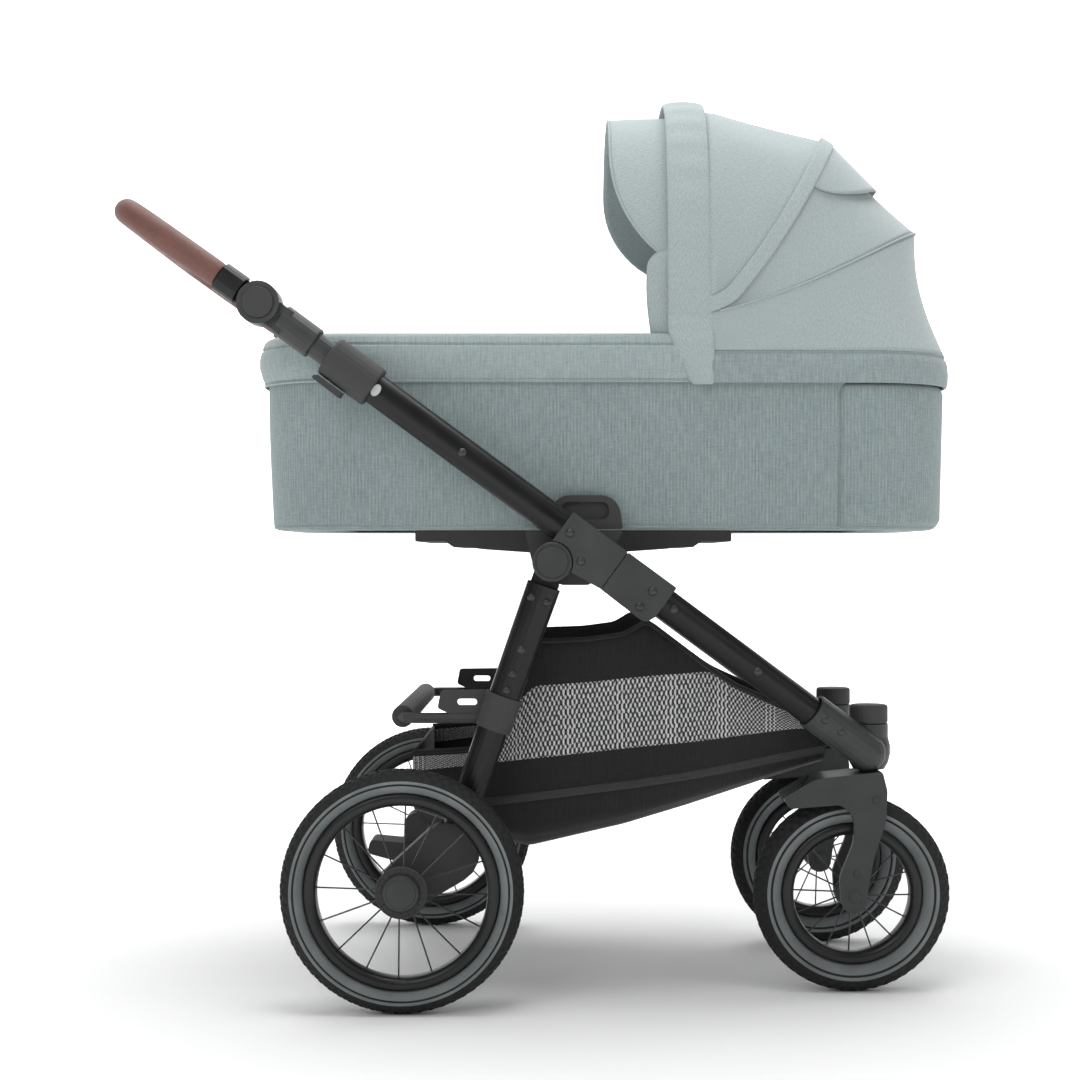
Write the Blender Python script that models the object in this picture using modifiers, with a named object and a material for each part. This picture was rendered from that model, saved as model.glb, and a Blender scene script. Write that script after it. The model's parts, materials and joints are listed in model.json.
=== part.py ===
"""Baby stroller: a folding frame on four spoked wheels, with a lift-off carrycot and a folding hood.

Metres. +X is the way the stroller is pushed, +Y its left side, +Z up. The floor is Z = 0, and the origin
is under the middle of the whole stroller. Every piece is one object; each moving group hangs from an empty
on its joint's axis.
"""

import math

import bmesh
import bpy
import numpy as np
from mathutils import Matrix, Vector

# ---------------------------------------------------------------- clearances
GAP = 0.0003  # between two pieces that touch
RUNNING = 0.0004  # round a pin, a shaft or a sliding tube
SWING_ROOM = 0.0012  # beside a piece that turns past another
WHEEL_ROOM = 0.0045  # beside a tyre

# ---------------------------------------------------------------- wheels
FRONT_RADIUS = 0.1225
REAR_RADIUS = 0.145
TYRE_WIDTH = 0.045
FRONT_TYRE_DEPTH = 0.0355
REAR_TYRE_DEPTH = 0.029
RIM_DEPTH = 0.015
RIM_WIDTH = 0.026
SPOKES = 16
WHEEL_STEPS = 30  # facets round a tyre and a rim, never in line with a spoke
SPOKE_THICKNESS = 0.0026
HUB_RADIUS = 0.019
REAR_DISC_RADIUS = 0.035
CAP_RADIUS = 0.024
AXLE_RADIUS = 0.006
FRONT_AXLE_X = 0.393
WHEEL_BASE = 0.551
TRAIL = 0.022
FRONT_TRACK = 0.31

# ---------------------------------------------------------------- carrycot
COT_HALF_WIDTH = 0.205
COT_LENGTH = 0.851
COT_HEIGHT = 0.225
COT_CORNER = 0.10
COT_TAPER = 0.007
COT_WALL = 0.008
COT_FRONT_OVERHANG = 0.096  # from the swivel axis to the head end of the tub
HEM_THICKNESS = 0.006
HEM_DROP = 0.045  # how far the hem hangs below the tub's rim
APRON_THICKNESS = 0.006
APRON_GAP = 0.003  # from the apron's edge to the hood's skirt
MATTRESS_HEIGHT = 0.034
BASE_HALF_WIDTH = 0.15
BASE_DEPTH = 0.027

# ---------------------------------------------------------------- frame
TUBE_HALF_HEIGHT = 0.019
TUBE_HALF_WIDTH = 0.0165
TUBE_WALL = 0.0022
SIDE_ROOM = 0.045  # from the tub's side to the middle of the frame tubes
FRAME_ANGLE = math.radians(36.33)
LOWER_LENGTH = 0.4547  # hinge foot to the head
UPPER_LENGTH = 0.4651  # hinge foot to the knuckle
HINGE_DROP = 0.0415  # pivot below the tubes' middle line
HEAD_LIFT = 0.054  # middle of the head above the front tyres
BRACKET_HALF_WIDTH = 0.0212
BRACKET_OVER = 0.0215
HEAD_RADIUS = 0.0245
HEAD_SWELL = 0.0022  # round the middle of the head casting
STEM_RADIUS = 0.012
CHEEK_THICKNESS = 0.008
EYE_RADIUS = 0.0225
LEG_EYE_RADIUS = 0.019
PIVOT_RADIUS = 0.006

# ---------------------------------------------------------------- handle
POST_PLAY = 0.0013  # between the post and the tube that it slides in, above and below
POST_RADIUS = TUBE_HALF_HEIGHT - TUBE_WALL - POST_PLAY
POST_INSERT = 0.135
KNUCKLE_RADIUS = 0.0256
HANDLE_REACH = 0.2117
HANDLE_ANGLE = math.radians(35.2)
HANDLE_RADIUS = 0.0125
GRIP_RADIUS = 0.016
GRIP_START = 0.060
HANDLE_CORNER = 0.07

# ---------------------------------------------------------------- hood
HOOD_PIVOT_BACK = 0.2915  # from the tub's head end, at the rim, back to the hood's pivot
HOOD_PIVOT_RISE = 0.042  # pivot above the tub's rim
HOOD_RADIUS = 0.294
PANEL_FRONT_RADIUS = 0.2813  # cloth radius under the band
PANEL_MIDDLE_RADIUS = 0.2875
HOOD_REAR_RADIUS = 0.2995
BAND_WIDTH = 0.053
BAND_SETBACK = 0.0035
BAND_THICKNESS = 0.008
PANEL_THICKNESS = 0.003
MIDDLE_BOW_ANGLE = math.radians(57.0)
REAR_BOW_ANGLE = math.radians(23.7)
BOW_RADIUS = 0.004
VISOR_REACH = 0.0718
ARCH_POWER = 2.7
BOW_DRIFT = 0.012  # how far a leaning bow bends back between the pivot and the crown

# ---------------------------------------------------------------- worked-out places
SWIVEL_X = FRONT_AXLE_X + TRAIL
REAR_AXLE_X = FRONT_AXLE_X - WHEEL_BASE
ALONG = Vector((-math.cos(FRAME_ANGLE), 0, math.sin(FRAME_ANGLE)))  # up the frame, to the handle
ABOVE = Vector((math.sin(FRAME_ANGLE), 0, math.cos(FRAME_ANGLE)))
HEAD_POINT = Vector((SWIVEL_X - 0.004, 0, 2 * FRONT_RADIUS + HEAD_LIFT))
HINGE_FOOT = HEAD_POINT + ALONG * LOWER_LENGTH
PIVOT = HINGE_FOOT - ABOVE * HINGE_DROP
KNUCKLE = HINGE_FOOT + ALONG * UPPER_LENGTH
TUBE_Y = COT_HALF_WIDTH + SIDE_ROOM
HEAD_Y = FRONT_TRACK / 2
HEAD_TUBE_Y = HEAD_Y + 0.024

BRACKET_INNER_Y = TUBE_Y - BRACKET_HALF_WIDTH
LOWER_BRACKET_INNER_Y = BRACKET_INNER_Y - 0.0055
BRACKET_OUTER_Y = TUBE_Y + BRACKET_HALF_WIDTH
HOUSING_OUTER_Y = BRACKET_INNER_Y - GAP * 2
HOUSING_INNER_Y = HOUSING_OUTER_Y - 0.014
LEG_EYE_Y = (HOUSING_OUTER_Y + SWING_ROOM, HOUSING_OUTER_Y + SWING_ROOM + 0.0145)
ARM_EYE_Y = (LEG_EYE_Y[1] + SWING_ROOM, LEG_EYE_Y[1] + SWING_ROOM + 0.0135)
CAP_Y = (ARM_EYE_Y[1] + SWING_ROOM, BRACKET_OUTER_Y + 0.002)

LEG_TOP_HALF = (0.0205, 0.0150)
LEG_FOOT_HALF = (0.0175, 0.0140)
LEG_TOP_Y = HOUSING_OUTER_Y + SWING_ROOM + LEG_TOP_HALF[1]
LEG_FOOT_Y = LEG_TOP_Y - 0.0165
ARM_FOOT = Vector((REAR_AXLE_X + 0.0535, 0, REAR_RADIUS + 0.0395))  # the swing arm's own pivot
ARM_OUTER_Y = LEG_FOOT_Y + LEG_FOOT_HALF[1] + 0.0065
ARM_INNER_Y = LEG_FOOT_Y - LEG_FOOT_HALF[1] - 0.0065
ARM_RADIUS = 0.037
REAR_WHEEL_Y = ARM_OUTER_Y + WHEEL_ROOM + TYRE_WIDTH / 2
FRONT_AXLE = Vector((FRONT_AXLE_X, 0, FRONT_RADIUS))
REAR_AXLE = Vector((REAR_AXLE_X, 0, REAR_RADIUS))

COT_FLOOR = PIVOT.z + 0.0396
COT_RIM = COT_FLOOR + COT_HEIGHT
COT_HEAD = SWIVEL_X + COT_FRONT_OVERHANG
COT_FOOT = COT_HEAD - COT_LENGTH
HEM_OUT = GAP * 4 + HEM_THICKNESS
HEM_BOTTOM = COT_RIM - HEM_DROP
HOOD_PIVOT = Vector((COT_HEAD - HOOD_PIVOT_BACK, 0, COT_RIM + HOOD_PIVOT_RISE))
HOOD_HALF_WIDTH = COT_HALF_WIDTH + HEM_OUT

SIDES = {"left": 1, "right": -1}

# name: (base colour, roughness, metallic)
FINISHES = {
    "frame_tube": ((0.030, 0.032, 0.032), 0.38, 0.55),
    "black_plastic": ((0.034, 0.036, 0.036), 0.48, 0.0),
    "hinge_plastic": ((0.060, 0.063, 0.063), 0.45, 0.0),
    "handle_leather": ((0.195, 0.090, 0.075), 0.55, 0.0),
    "tyre_rubber": ((0.110, 0.120, 0.120), 0.75, 0.0),
    "rim_metal": ((0.045, 0.047, 0.047), 0.35, 0.6),
    "grey_fabric": ((0.270, 0.330, 0.330), 0.90, 0.0),
    "lining_fabric": ((0.360, 0.380, 0.370), 0.92, 0.0),
    "basket_fabric": ((0.030, 0.030, 0.031), 0.88, 0.0),
}


# ---------------------------------------------------------------- making things
def clear_scene():
    for obj in list(bpy.data.objects):
        bpy.data.objects.remove(obj, do_unlink=True)


def new_collection(name, hidden=False):
    made = bpy.data.collections.new(name)
    bpy.context.scene.collection.children.link(made)
    made.hide_render = hidden
    return made


clear_scene()
PARTS = new_collection("baby_stroller")
CUTTERS = new_collection("stroller_cutters", hidden=True)


def material_for(piece, finish):
    """A Principled material of the piece's own, in one of the finishes."""
    colour, roughness, metallic = FINISHES[finish]
    made = bpy.data.materials.new(f"{piece}_{finish}")
    made.use_nodes = True
    shader = made.node_tree.nodes["Principled BSDF"]
    shader.inputs["Base Color"].default_value = (*colour, 1)
    shader.inputs["Roughness"].default_value = roughness
    shader.inputs["Metallic"].default_value = metallic
    return made


def place(name, data, finish, matrix=None):
    """A new object, as a part when it has a finish and as a hidden helper when it has none."""
    obj = bpy.data.objects.new(name, data)
    obj.matrix_world = matrix or Matrix.Identity(4)
    if finish:
        PARTS.objects.link(obj)
        data.materials.clear()
        data.materials.append(material_for(name, finish))
    else:
        CUTTERS.objects.link(obj)
        obj.hide_render = True
        obj.display_type = "WIRE"
    return obj


def object_from(bm, name, finish, matrix=None, smooth_under=40):
    bmesh.ops.recalc_face_normals(bm, faces=bm.faces)
    mesh = bpy.data.meshes.new(name)
    bm.to_mesh(mesh)
    bm.free()
    mesh.shade_smooth()
    mesh.set_sharp_from_angle(angle=math.radians(smooth_under))
    return place(name, mesh, finish, matrix)


def mesh_from_curve(curve_object, name, finish):
    """Makes a mesh object of a curve, with its caps welded, so that it can be cut."""
    bpy.context.view_layer.update()
    graph = bpy.context.evaluated_depsgraph_get()
    mesh = bpy.data.meshes.new_from_object(curve_object.evaluated_get(graph))
    matrix = curve_object.matrix_world.copy()
    bpy.data.objects.remove(curve_object, do_unlink=True)
    bm = bmesh.new()
    bm.from_mesh(mesh)
    bpy.data.meshes.remove(mesh)
    bmesh.ops.remove_doubles(bm, verts=bm.verts, dist=1e-5)
    return object_from(bm, name, finish, matrix)


def boolean(obj, operation, *tools):
    for tool in tools:
        step = obj.modifiers.new(f"{operation.lower()}_{tool.name}", "BOOLEAN")
        step.operation = operation
        step.object = tool
    return obj


def cut(obj, *tools):
    return boolean(obj, "DIFFERENCE", *tools)


def join(obj, *tools):
    return boolean(obj, "UNION", *tools)


def round_edges(obj, width, segments=2, angle=50):
    step = obj.modifiers.new("rounded_edges", "BEVEL")
    step.width = width
    step.segments = segments
    step.limit_method = "ANGLE"
    step.angle_limit = math.radians(angle)
    return obj


def bar(name, start, end, half_height, half_width, finish=None, taper=1.0, sides=20, wall=None):
    """A straight round or oval bar from start to end, or a pipe when it has a wall."""
    start, end = Vector(start), Vector(end)
    z_axis = (end - start).normalized()
    reference = Vector((1, 0, 0)) if abs(z_axis.y) > 0.9 else Vector((0, 1, 0))
    y_axis = (reference - z_axis * z_axis.dot(reference)).normalized()
    x_axis = y_axis.cross(z_axis)
    turn = Matrix((x_axis, y_axis, z_axis)).transposed().to_4x4()
    bm = bmesh.new()
    bmesh.ops.create_cone(
        bm,
        cap_ends=wall is None,
        segments=sides,
        radius1=1,
        radius2=taper,
        depth=(end - start).length,
    )
    bmesh.ops.scale(bm, vec=(half_height, half_width, 1), verts=bm.verts)
    obj = object_from(bm, name, finish, Matrix.Translation((start + end) / 2) @ turn)
    if wall:
        shell = obj.modifiers.new("tube_wall", "SOLIDIFY")
        shell.thickness = wall
        shell.offset = -1
    return obj


def disc(name, centre, y_from, y_to, radius, finish=None, sides=24):
    """A round disc or pin along Y."""
    low, high = sorted((y_from, y_to))
    return bar(
        name, (centre.x, low, centre.z), (centre.x, high, centre.z), radius, radius, finish, sides=sides
    )


def post(name, x, y, z_from, z_to, radius, finish=None, sides=24):
    """A round disc or pin along Z."""
    return bar(name, (x, y, z_from), (x, y, z_to), radius, radius, finish, sides=sides)


def block(name, low, high, finish=None):
    bm = bmesh.new()
    bmesh.ops.create_cube(bm, size=1)
    low, high = Vector(low), Vector(high)
    bmesh.ops.scale(bm, vec=high - low, verts=bm.verts)
    return object_from(bm, name, finish, Matrix.Translation((low + high) / 2))


def filleted(corners, radius, steps=3):
    """The corners of a flat outline, each replaced by an arc that touches both its edges."""
    count = len(corners)
    radii = radius if isinstance(radius, (list, tuple)) else [radius] * count
    points = []
    for i, corner in enumerate(corners):
        here = Vector(corner)
        before = (Vector(corners[i - 1]) - here).normalized()
        after = (Vector(corners[(i + 1) % count]) - here).normalized()
        if radii[i] <= 0:
            points.append(here)
            continue
        half = before.angle(after) / 2
        middle = here + (before + after).normalized() * radii[i] / math.sin(half)
        first = here + before * radii[i] / math.tan(half) - middle
        last = here + after * radii[i] / math.tan(half) - middle
        for k in range(steps + 1):
            share = k / steps
            arm = first * (1 - share) + last * share
            points.append(middle + arm.normalized() * radii[i])
    return points


def slab(name, outline, y_from, y_to, finish=None):
    """A flat outline in X and Z, with its thickness along Y."""
    curve = bpy.data.curves.new(name, "CURVE")
    curve.dimensions = "2D"
    curve.fill_mode = "BOTH"
    curve.extrude = abs(y_to - y_from) / 2
    spline = curve.splines.new("POLY")
    spline.points.add(len(outline) - 1)
    for point, corner in zip(spline.points, outline):
        point.co = (corner[0], corner[1], 0, 1)
    spline.use_cyclic_u = True
    obj = bpy.data.objects.new(name, curve)
    bpy.context.scene.collection.objects.link(obj)
    obj.matrix_world = Matrix.Translation(
        (0, (y_from + y_to) / 2, 0)
    ) @ Matrix.Rotation(math.pi / 2, 4, "X")
    return mesh_from_curve(obj, name, finish)


def path_tube(name, points, radius, finish=None, resolution=3):
    """A round tube along points, with closed ends."""
    curve = bpy.data.curves.new(name, "CURVE")
    curve.dimensions = "3D"
    curve.bevel_depth = radius
    curve.bevel_resolution = resolution
    curve.use_fill_caps = True
    spline = curve.splines.new("POLY")
    spline.points.add(len(points) - 1)
    for point, place_of in zip(spline.points, points):
        point.co = (*place_of, 1)
    obj = bpy.data.objects.new(name, curve)
    bpy.context.scene.collection.objects.link(obj)
    return mesh_from_curve(obj, name, finish)


def turned(name, profile, centre, finish=None, steps=32, closed=False):
    """A profile of (radius, place along Y) turned about the Y line through centre.

    The profile runs down its outer side, from the high end of the axis to the low end.
    """
    mesh = bpy.data.meshes.new(name)
    count = len(profile)
    edges = [(i, i + 1) for i in range(count - 1)]
    if closed:
        edges.append((count - 1, 0))
    mesh.from_pydata([(radius, 0, along) for radius, along in profile], edges, [])
    obj = place(name, mesh, finish)
    obj.matrix_world = Matrix.Translation(centre) @ Matrix.Rotation(-math.pi / 2, 4, "X")
    spin = obj.modifiers.new("turned", "SCREW")
    spin.axis = "Z"
    spin.steps = steps
    spin.render_steps = steps
    spin.use_merge_vertices = True
    spin.merge_threshold = 1e-5
    return obj


def lofted(name, rings, finish=None, caps=True, wall=None, offset=-1, closed_rings=True):
    """A skin over rings of as many points each: a solid with caps, or a shell with a wall."""
    bm = bmesh.new()
    rows = [[bm.verts.new(point) for point in ring] for ring in rings]
    count = len(rings[0])
    last = count if closed_rings else count - 1
    for lower, upper in zip(rows, rows[1:]):
        for i in range(last):
            j = (i + 1) % count
            bm.faces.new((lower[i], lower[j], upper[j], upper[i]))
    if caps:
        bm.faces.new(rows[0])
        bm.faces.new(rows[-1])
    obj = object_from(bm, name, finish)
    if wall:
        shell = obj.modifiers.new("cloth_wall", "SOLIDIFY")
        shell.thickness = wall
        shell.offset = offset
    return obj


GROUPS = {}


def group(body, pivot, *pieces):
    """Hangs the pieces of a moving group from an empty on the group's joint."""
    empty = bpy.data.objects.new(f"{body}_pivot", None)
    empty.empty_display_size = 0.03
    empty.location = pivot
    bpy.context.scene.collection.objects.link(empty)
    bpy.context.view_layer.update()
    for piece in pieces:
        piece.parent = empty
        piece.matrix_parent_inverse = empty.matrix_world.inverted()
    GROUPS[body] = [piece.name for piece in pieces]


def frame_point(along, above=0.0, y=0.0):
    """A point of the side frame: so far up the tubes from the hinge's foot, and so far over their middle."""
    return HINGE_FOOT + ALONG * along + ABOVE * above + Vector((0, y, 0))


def frame_outline(corners):
    """Corners given as (up the frame, over the frame), as X and Z."""
    points = [frame_point(*corner) for corner in corners]
    return [(point.x, point.z) for point in points]


# ---------------------------------------------------------------- front frame
def lower_tube_line(side, along, reach=LOWER_LENGTH):
    """The lower tubes run in from the hinge to the head castings."""
    top = frame_point(-0.110, 0, side * TUBE_Y)
    foot = frame_point(-reach + 0.010, 0, side * HEAD_TUBE_Y)
    share = (-0.110 - along) / (reach - 0.010 - 0.110)
    return top.lerp(foot, share)


def make_lower_tube(word, side):
    top = lower_tube_line(side, -0.112)
    foot = lower_tube_line(side, -0.410)
    return bar(
        f"lower_tube_{word}", top, foot, TUBE_HALF_HEIGHT, TUBE_HALF_WIDTH, "frame_tube", wall=TUBE_WALL
    )


def tube_bore(name, side, along_from, along_to, room=RUNNING):
    """A cutter for the socket that a lower tube sits in."""
    top = lower_tube_line(side, along_from)
    foot = lower_tube_line(side, along_to)
    return bar(name, top, foot, TUBE_HALF_HEIGHT + room, TUBE_HALF_WIDTH + room)


def make_lower_bracket(word, side):
    outline = filleted(
        frame_outline(
            [
                (-0.0664, BRACKET_OVER),
                (-0.1376, BRACKET_OVER),
                (-0.1376, -0.0215),
                (-0.1320, -0.0345),
                (-0.1180, -0.0345),
                (-0.0664, -0.0330),
            ]
        ),
        [0.002, 0.002, 0.003, 0.009, 0.004, 0.002],
    )
    body = slab(
        f"lower_bracket_{word}",
        outline,
        side * LOWER_BRACKET_INNER_Y,
        side * BRACKET_OUTER_Y,
        "hinge_plastic",
    )
    round_edges(body, 0.003)
    return cut(body, tube_bore(f"lower_bracket_socket_{word}", side, -0.1105, -0.150))


def make_hinge_housing(word, side):
    top = PIVOT.z + 0.038
    corners = [
        (PIVOT.x - 0.033, top),
        (PIVOT.x - 0.029, top - 0.020),
        (PIVOT.x - 0.021, PIVOT.z - 0.014),
        (PIVOT.x + 0.012, PIVOT.z - 0.028),
        (PIVOT.x + 0.046, PIVOT.z - 0.028),
        (PIVOT.x + 0.066, PIVOT.z + 0.004),
        (PIVOT.x + 0.086, top),
    ]
    body = slab(
        f"hinge_housing_{word}",
        filleted(corners, [0.002, 0.006, 0.010, 0.010, 0.008, 0.012, 0.002]),
        side * HOUSING_INNER_Y,
        side * HOUSING_OUTER_Y,
        "black_plastic",
    )
    pin = disc(
        f"hinge_pin_{word}",
        PIVOT,
        side * (HOUSING_OUTER_Y - 0.006),
        side * (CAP_Y[0] - GAP),
        PIVOT_RADIUS,
        sides=16,
    )
    return join(body, pin)


def make_hinge_cap(word, side):
    cap = disc(
        f"hinge_cap_{word}", PIVOT, side * CAP_Y[0], side * CAP_Y[1], CAP_RADIUS, "hinge_plastic", sides=32
    )
    return round_edges(cap, 0.0022)


def level_ring(x, y, z, radius, sides=28):
    """A level circle of points."""
    turns = [2 * math.pi * k / sides for k in range(sides)]
    return [Vector((x + radius * math.cos(turn), y + radius * math.sin(turn), z)) for turn in turns]


def make_head_casting(word, side):
    sleeve_top = lower_tube_line(side, -0.365)
    sleeve_foot = lower_tube_line(side, -0.455)
    head_bottom = 2 * FRONT_RADIUS + 0.032
    head_top = 2 * FRONT_RADIUS + 0.0883
    swell = HEAD_RADIUS + HEAD_SWELL
    levels = [
        (head_bottom, HEAD_RADIUS - 0.0050),
        (head_bottom + 0.0080, HEAD_RADIUS - 0.0005),
        (head_bottom + 0.0190, swell),
        (head_bottom + 0.0290, swell),
        (head_bottom + 0.0400, HEAD_RADIUS - 0.0005),
        (head_top, HEAD_RADIUS - 0.0005),
    ]
    body = lofted(
        f"head_casting_{word}",
        [level_ring(SWIVEL_X, side * HEAD_Y, z, radius) for z, radius in levels],
        "hinge_plastic",
    )
    sleeve = bar(f"head_sleeve_{word}", sleeve_top, sleeve_foot, 0.0225, 0.0205)
    bm = bmesh.new()
    bmesh.ops.create_uvsphere(bm, u_segments=20, v_segments=10, radius=0.0222)
    bmesh.ops.scale(bm, vec=(1, 0.91, 1), verts=bm.verts)
    nose = object_from(bm, f"head_nose_{word}", None, Matrix.Translation(sleeve_foot))
    join(body, sleeve, nose)
    socket = tube_bore(f"head_socket_{word}", side, -0.330, -0.4105)
    stem_hole = post(
        f"stem_hole_{word}",
        SWIVEL_X,
        side * HEAD_Y,
        head_bottom - 0.01,
        head_top - 0.010,
        STEM_RADIUS + RUNNING,
        sides=16,
    )
    return cut(body, socket, stem_hole)


def make_swivel_knob(word, side):
    z = 2 * FRONT_RADIUS + 0.0886
    knob = post(
        f"swivel_knob_{word}", SWIVEL_X, side * HEAD_Y, z, z + 0.0235, 0.0237, "black_plastic", sides=28
    )
    return round_edges(knob, 0.003)


def make_front_brace():
    reach = HEAD_Y - HEAD_RADIUS - HEAD_SWELL - GAP
    return bar(
        "front_brace",
        (SWIVEL_X, -reach, HEAD_POINT.z + 0.006),
        (SWIVEL_X, reach, HEAD_POINT.z + 0.006),
        0.011,
        0.011,
        "frame_tube",
        sides=16,
    )


def make_basket():
    """A cloth tub slung between the lower tubes, the legs and the rear cross member, open at the top."""
    half = TUBE_Y - TUBE_HALF_WIDTH - 0.0335
    front_half = HEAD_Y - 0.004
    front_x = SWIVEL_X - 0.0525
    # (x, rim height, floor height, half width)
    rear_x = REAR_AXLE_X - 0.014
    stations = [
        (rear_x, 0.314, 0.240, half - 0.012),
        (rear_x + 0.110, 0.328, 0.197, half),
        (rear_x + 0.162, 0.432, 0.180, half),
        (rear_x + 0.282, 0.445, 0.207, half),
        (rear_x + 0.308, 0.462, 0.214, half),
        (rear_x + 0.382, 0.406, 0.238, half - 0.008),
        (front_x, 0.331, 0.281, front_half),
    ]
    rings = []
    for x, rim, floor, width in stations:
        low = width * 0.80
        curve = min(0.030, (rim - floor) * 0.4)
        rings.append(
            [
                (x, -width, rim),
                (x, -width, floor + curve),
                (x, -low - (width - low) * 0.35, floor + curve * 0.25),
                (x, -low * 0.8, floor),
                (x, low * 0.8, floor),
                (x, low + (width - low) * 0.35, floor + curve * 0.25),
                (x, width, floor + curve),
                (x, width, rim),
            ]
        )
    bm = bmesh.new()
    rows = [[bm.verts.new(point) for point in ring] for ring in rings]
    for near, far in zip(rows, rows[1:]):
        for i in range(len(near) - 1):
            bm.faces.new((near[i], near[i + 1], far[i + 1], far[i]))
    bm.faces.new(rows[0])
    bm.faces.new(rows[-1])
    basket = object_from(bm, "basket", "basket_fabric")
    wall = basket.modifiers.new("cloth_wall", "SOLIDIFY")
    wall.thickness = 0.004
    wall.offset = -1
    wall.use_even_offset = True
    return basket


# ---------------------------------------------------------------- push frame
def make_upper_bracket(word, side):
    foot = -HINGE_DROP
    outline = filleted(
        frame_outline(
            [
                (0.0150, BRACKET_OVER),
                (0.0150, -0.0205),
                (0.0030, -0.0290),
                (-0.0260, -0.0385),
                (-0.0654, -0.0330),
                (-0.0654, BRACKET_OVER),
            ]
        ),
        [0.002, 0.003, 0.002, 0.004, 0.002, 0.002],
    )
    body = slab(
        f"upper_bracket_{word}", outline, side * BRACKET_INNER_Y, side * BRACKET_OUTER_Y, "hinge_plastic"
    )
    round_edges(body, 0.003)
    leg_room = disc(
        f"leg_room_{word}", PIVOT, side * (
            BRACKET_INNER_Y
            - 0.01
        ), side * (ARM_EYE_Y[0] - GAP), EYE_RADIUS + 0.0015
    )
    cap_room = disc(
        f"cap_room_{word}",
        PIVOT,
        side * (ARM_EYE_Y[1]),
        side * (BRACKET_OUTER_Y + 0.01),
        CAP_RADIUS + 0.0012,
    )
    cut(body, leg_room, cap_room)
    eye = disc(f"bracket_eye_{word}", PIVOT, side * ARM_EYE_Y[0], side * ARM_EYE_Y[1], EYE_RADIUS)
    web = slab(
        f"bracket_web_{word}",
        frame_outline([(0.010, foot), (0.008, -0.010), (-0.040, -0.010), (-0.030, foot + 0.004)]),
        side * (ARM_EYE_Y[0] + GAP),
        side * (ARM_EYE_Y[1] - GAP),
    )
    join(body, eye, web)
    bore = bar(
        f"upper_socket_{word}",
        frame_point(0.030, 0, side * TUBE_Y),
        frame_point(-0.0354, 0, side * TUBE_Y),
        TUBE_HALF_HEIGHT + RUNNING,
        TUBE_HALF_WIDTH + RUNNING,
    )
    hole = disc(
        f"eye_hole_{word}",
        PIVOT,
        side * (ARM_EYE_Y[0] - 0.01),
        side * (ARM_EYE_Y[1] + 0.01),
        PIVOT_RADIUS + RUNNING,
        sides=16,
    )
    return cut(body, bore, hole)


def make_upper_tube(word, side):
    top = frame_point(UPPER_LENGTH - 0.1150, 0, side * TUBE_Y)
    foot = frame_point(-0.0350, 0, side * TUBE_Y)
    return bar(
        f"upper_tube_{word}", foot, top, TUBE_HALF_HEIGHT, TUBE_HALF_WIDTH, "frame_tube", wall=TUBE_WALL
    )


COLLAR_TOP = UPPER_LENGTH - 0.103
COLLAR_FOOT = UPPER_LENGTH - 0.170
LEVER_HINGE = (UPPER_LENGTH - 0.140, -0.0315)


def make_clamp_collar(word, side):
    y = side * TUBE_Y
    split = UPPER_LENGTH - 0.1147
    body = bar(
        f"clamp_collar_{word}",
        frame_point(COLLAR_FOOT, 0, y),
        frame_point(COLLAR_TOP, 0, y),
        0.0255,
        0.0215,
        "black_plastic",
        sides=24,
    )
    round_edges(body, 0.003)
    outer = bar(
        f"collar_outer_bore_{word}",
        frame_point(COLLAR_FOOT - 0.01, 0, y),
        frame_point(split, 0, y),
        TUBE_HALF_HEIGHT + RUNNING,
        TUBE_HALF_WIDTH + RUNNING,
    )
    inner = bar(
        f"collar_inner_bore_{word}",
        frame_point(split - 0.002, 0, y),
        frame_point(COLLAR_TOP + 0.01, 0, y),
        POST_RADIUS + RUNNING,
        POST_HALF_WIDTH + RUNNING,
    )
    return cut(body, outer, inner)


def make_clamp_lever(word, side):
    outline = filleted(
        frame_outline(
            [
                (COLLAR_TOP - 0.004, -0.0268),
                (COLLAR_TOP + 0.004, -0.0340),
                (LEVER_HINGE[0] - 0.0035, -0.0350),
                (LEVER_HINGE[0] - 0.0030, -0.0272),
            ]
        ),
        [0.002, 0.002, 0.002, 0.001],
    )
    lever = slab(
        f"clamp_lever_{word}", outline, side * (TUBE_Y - 0.010), side * (TUBE_Y + 0.010), "black_plastic"
    )
    return round_edges(lever, 0.0015)


# ---------------------------------------------------------------- handle
POST_HALF_WIDTH = TUBE_HALF_WIDTH - TUBE_WALL - 2 * RUNNING
HANDLE_OUT = Vector((-math.cos(HANDLE_ANGLE), 0, math.sin(HANDLE_ANGLE)))
POST_EYE_Y = (TUBE_Y + GAP, TUBE_Y + 0.0245)
ARM_SIDE_Y = (TUBE_Y - 0.0190, TUBE_Y - GAP)
BUTTON_RADIUS = 0.019


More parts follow.
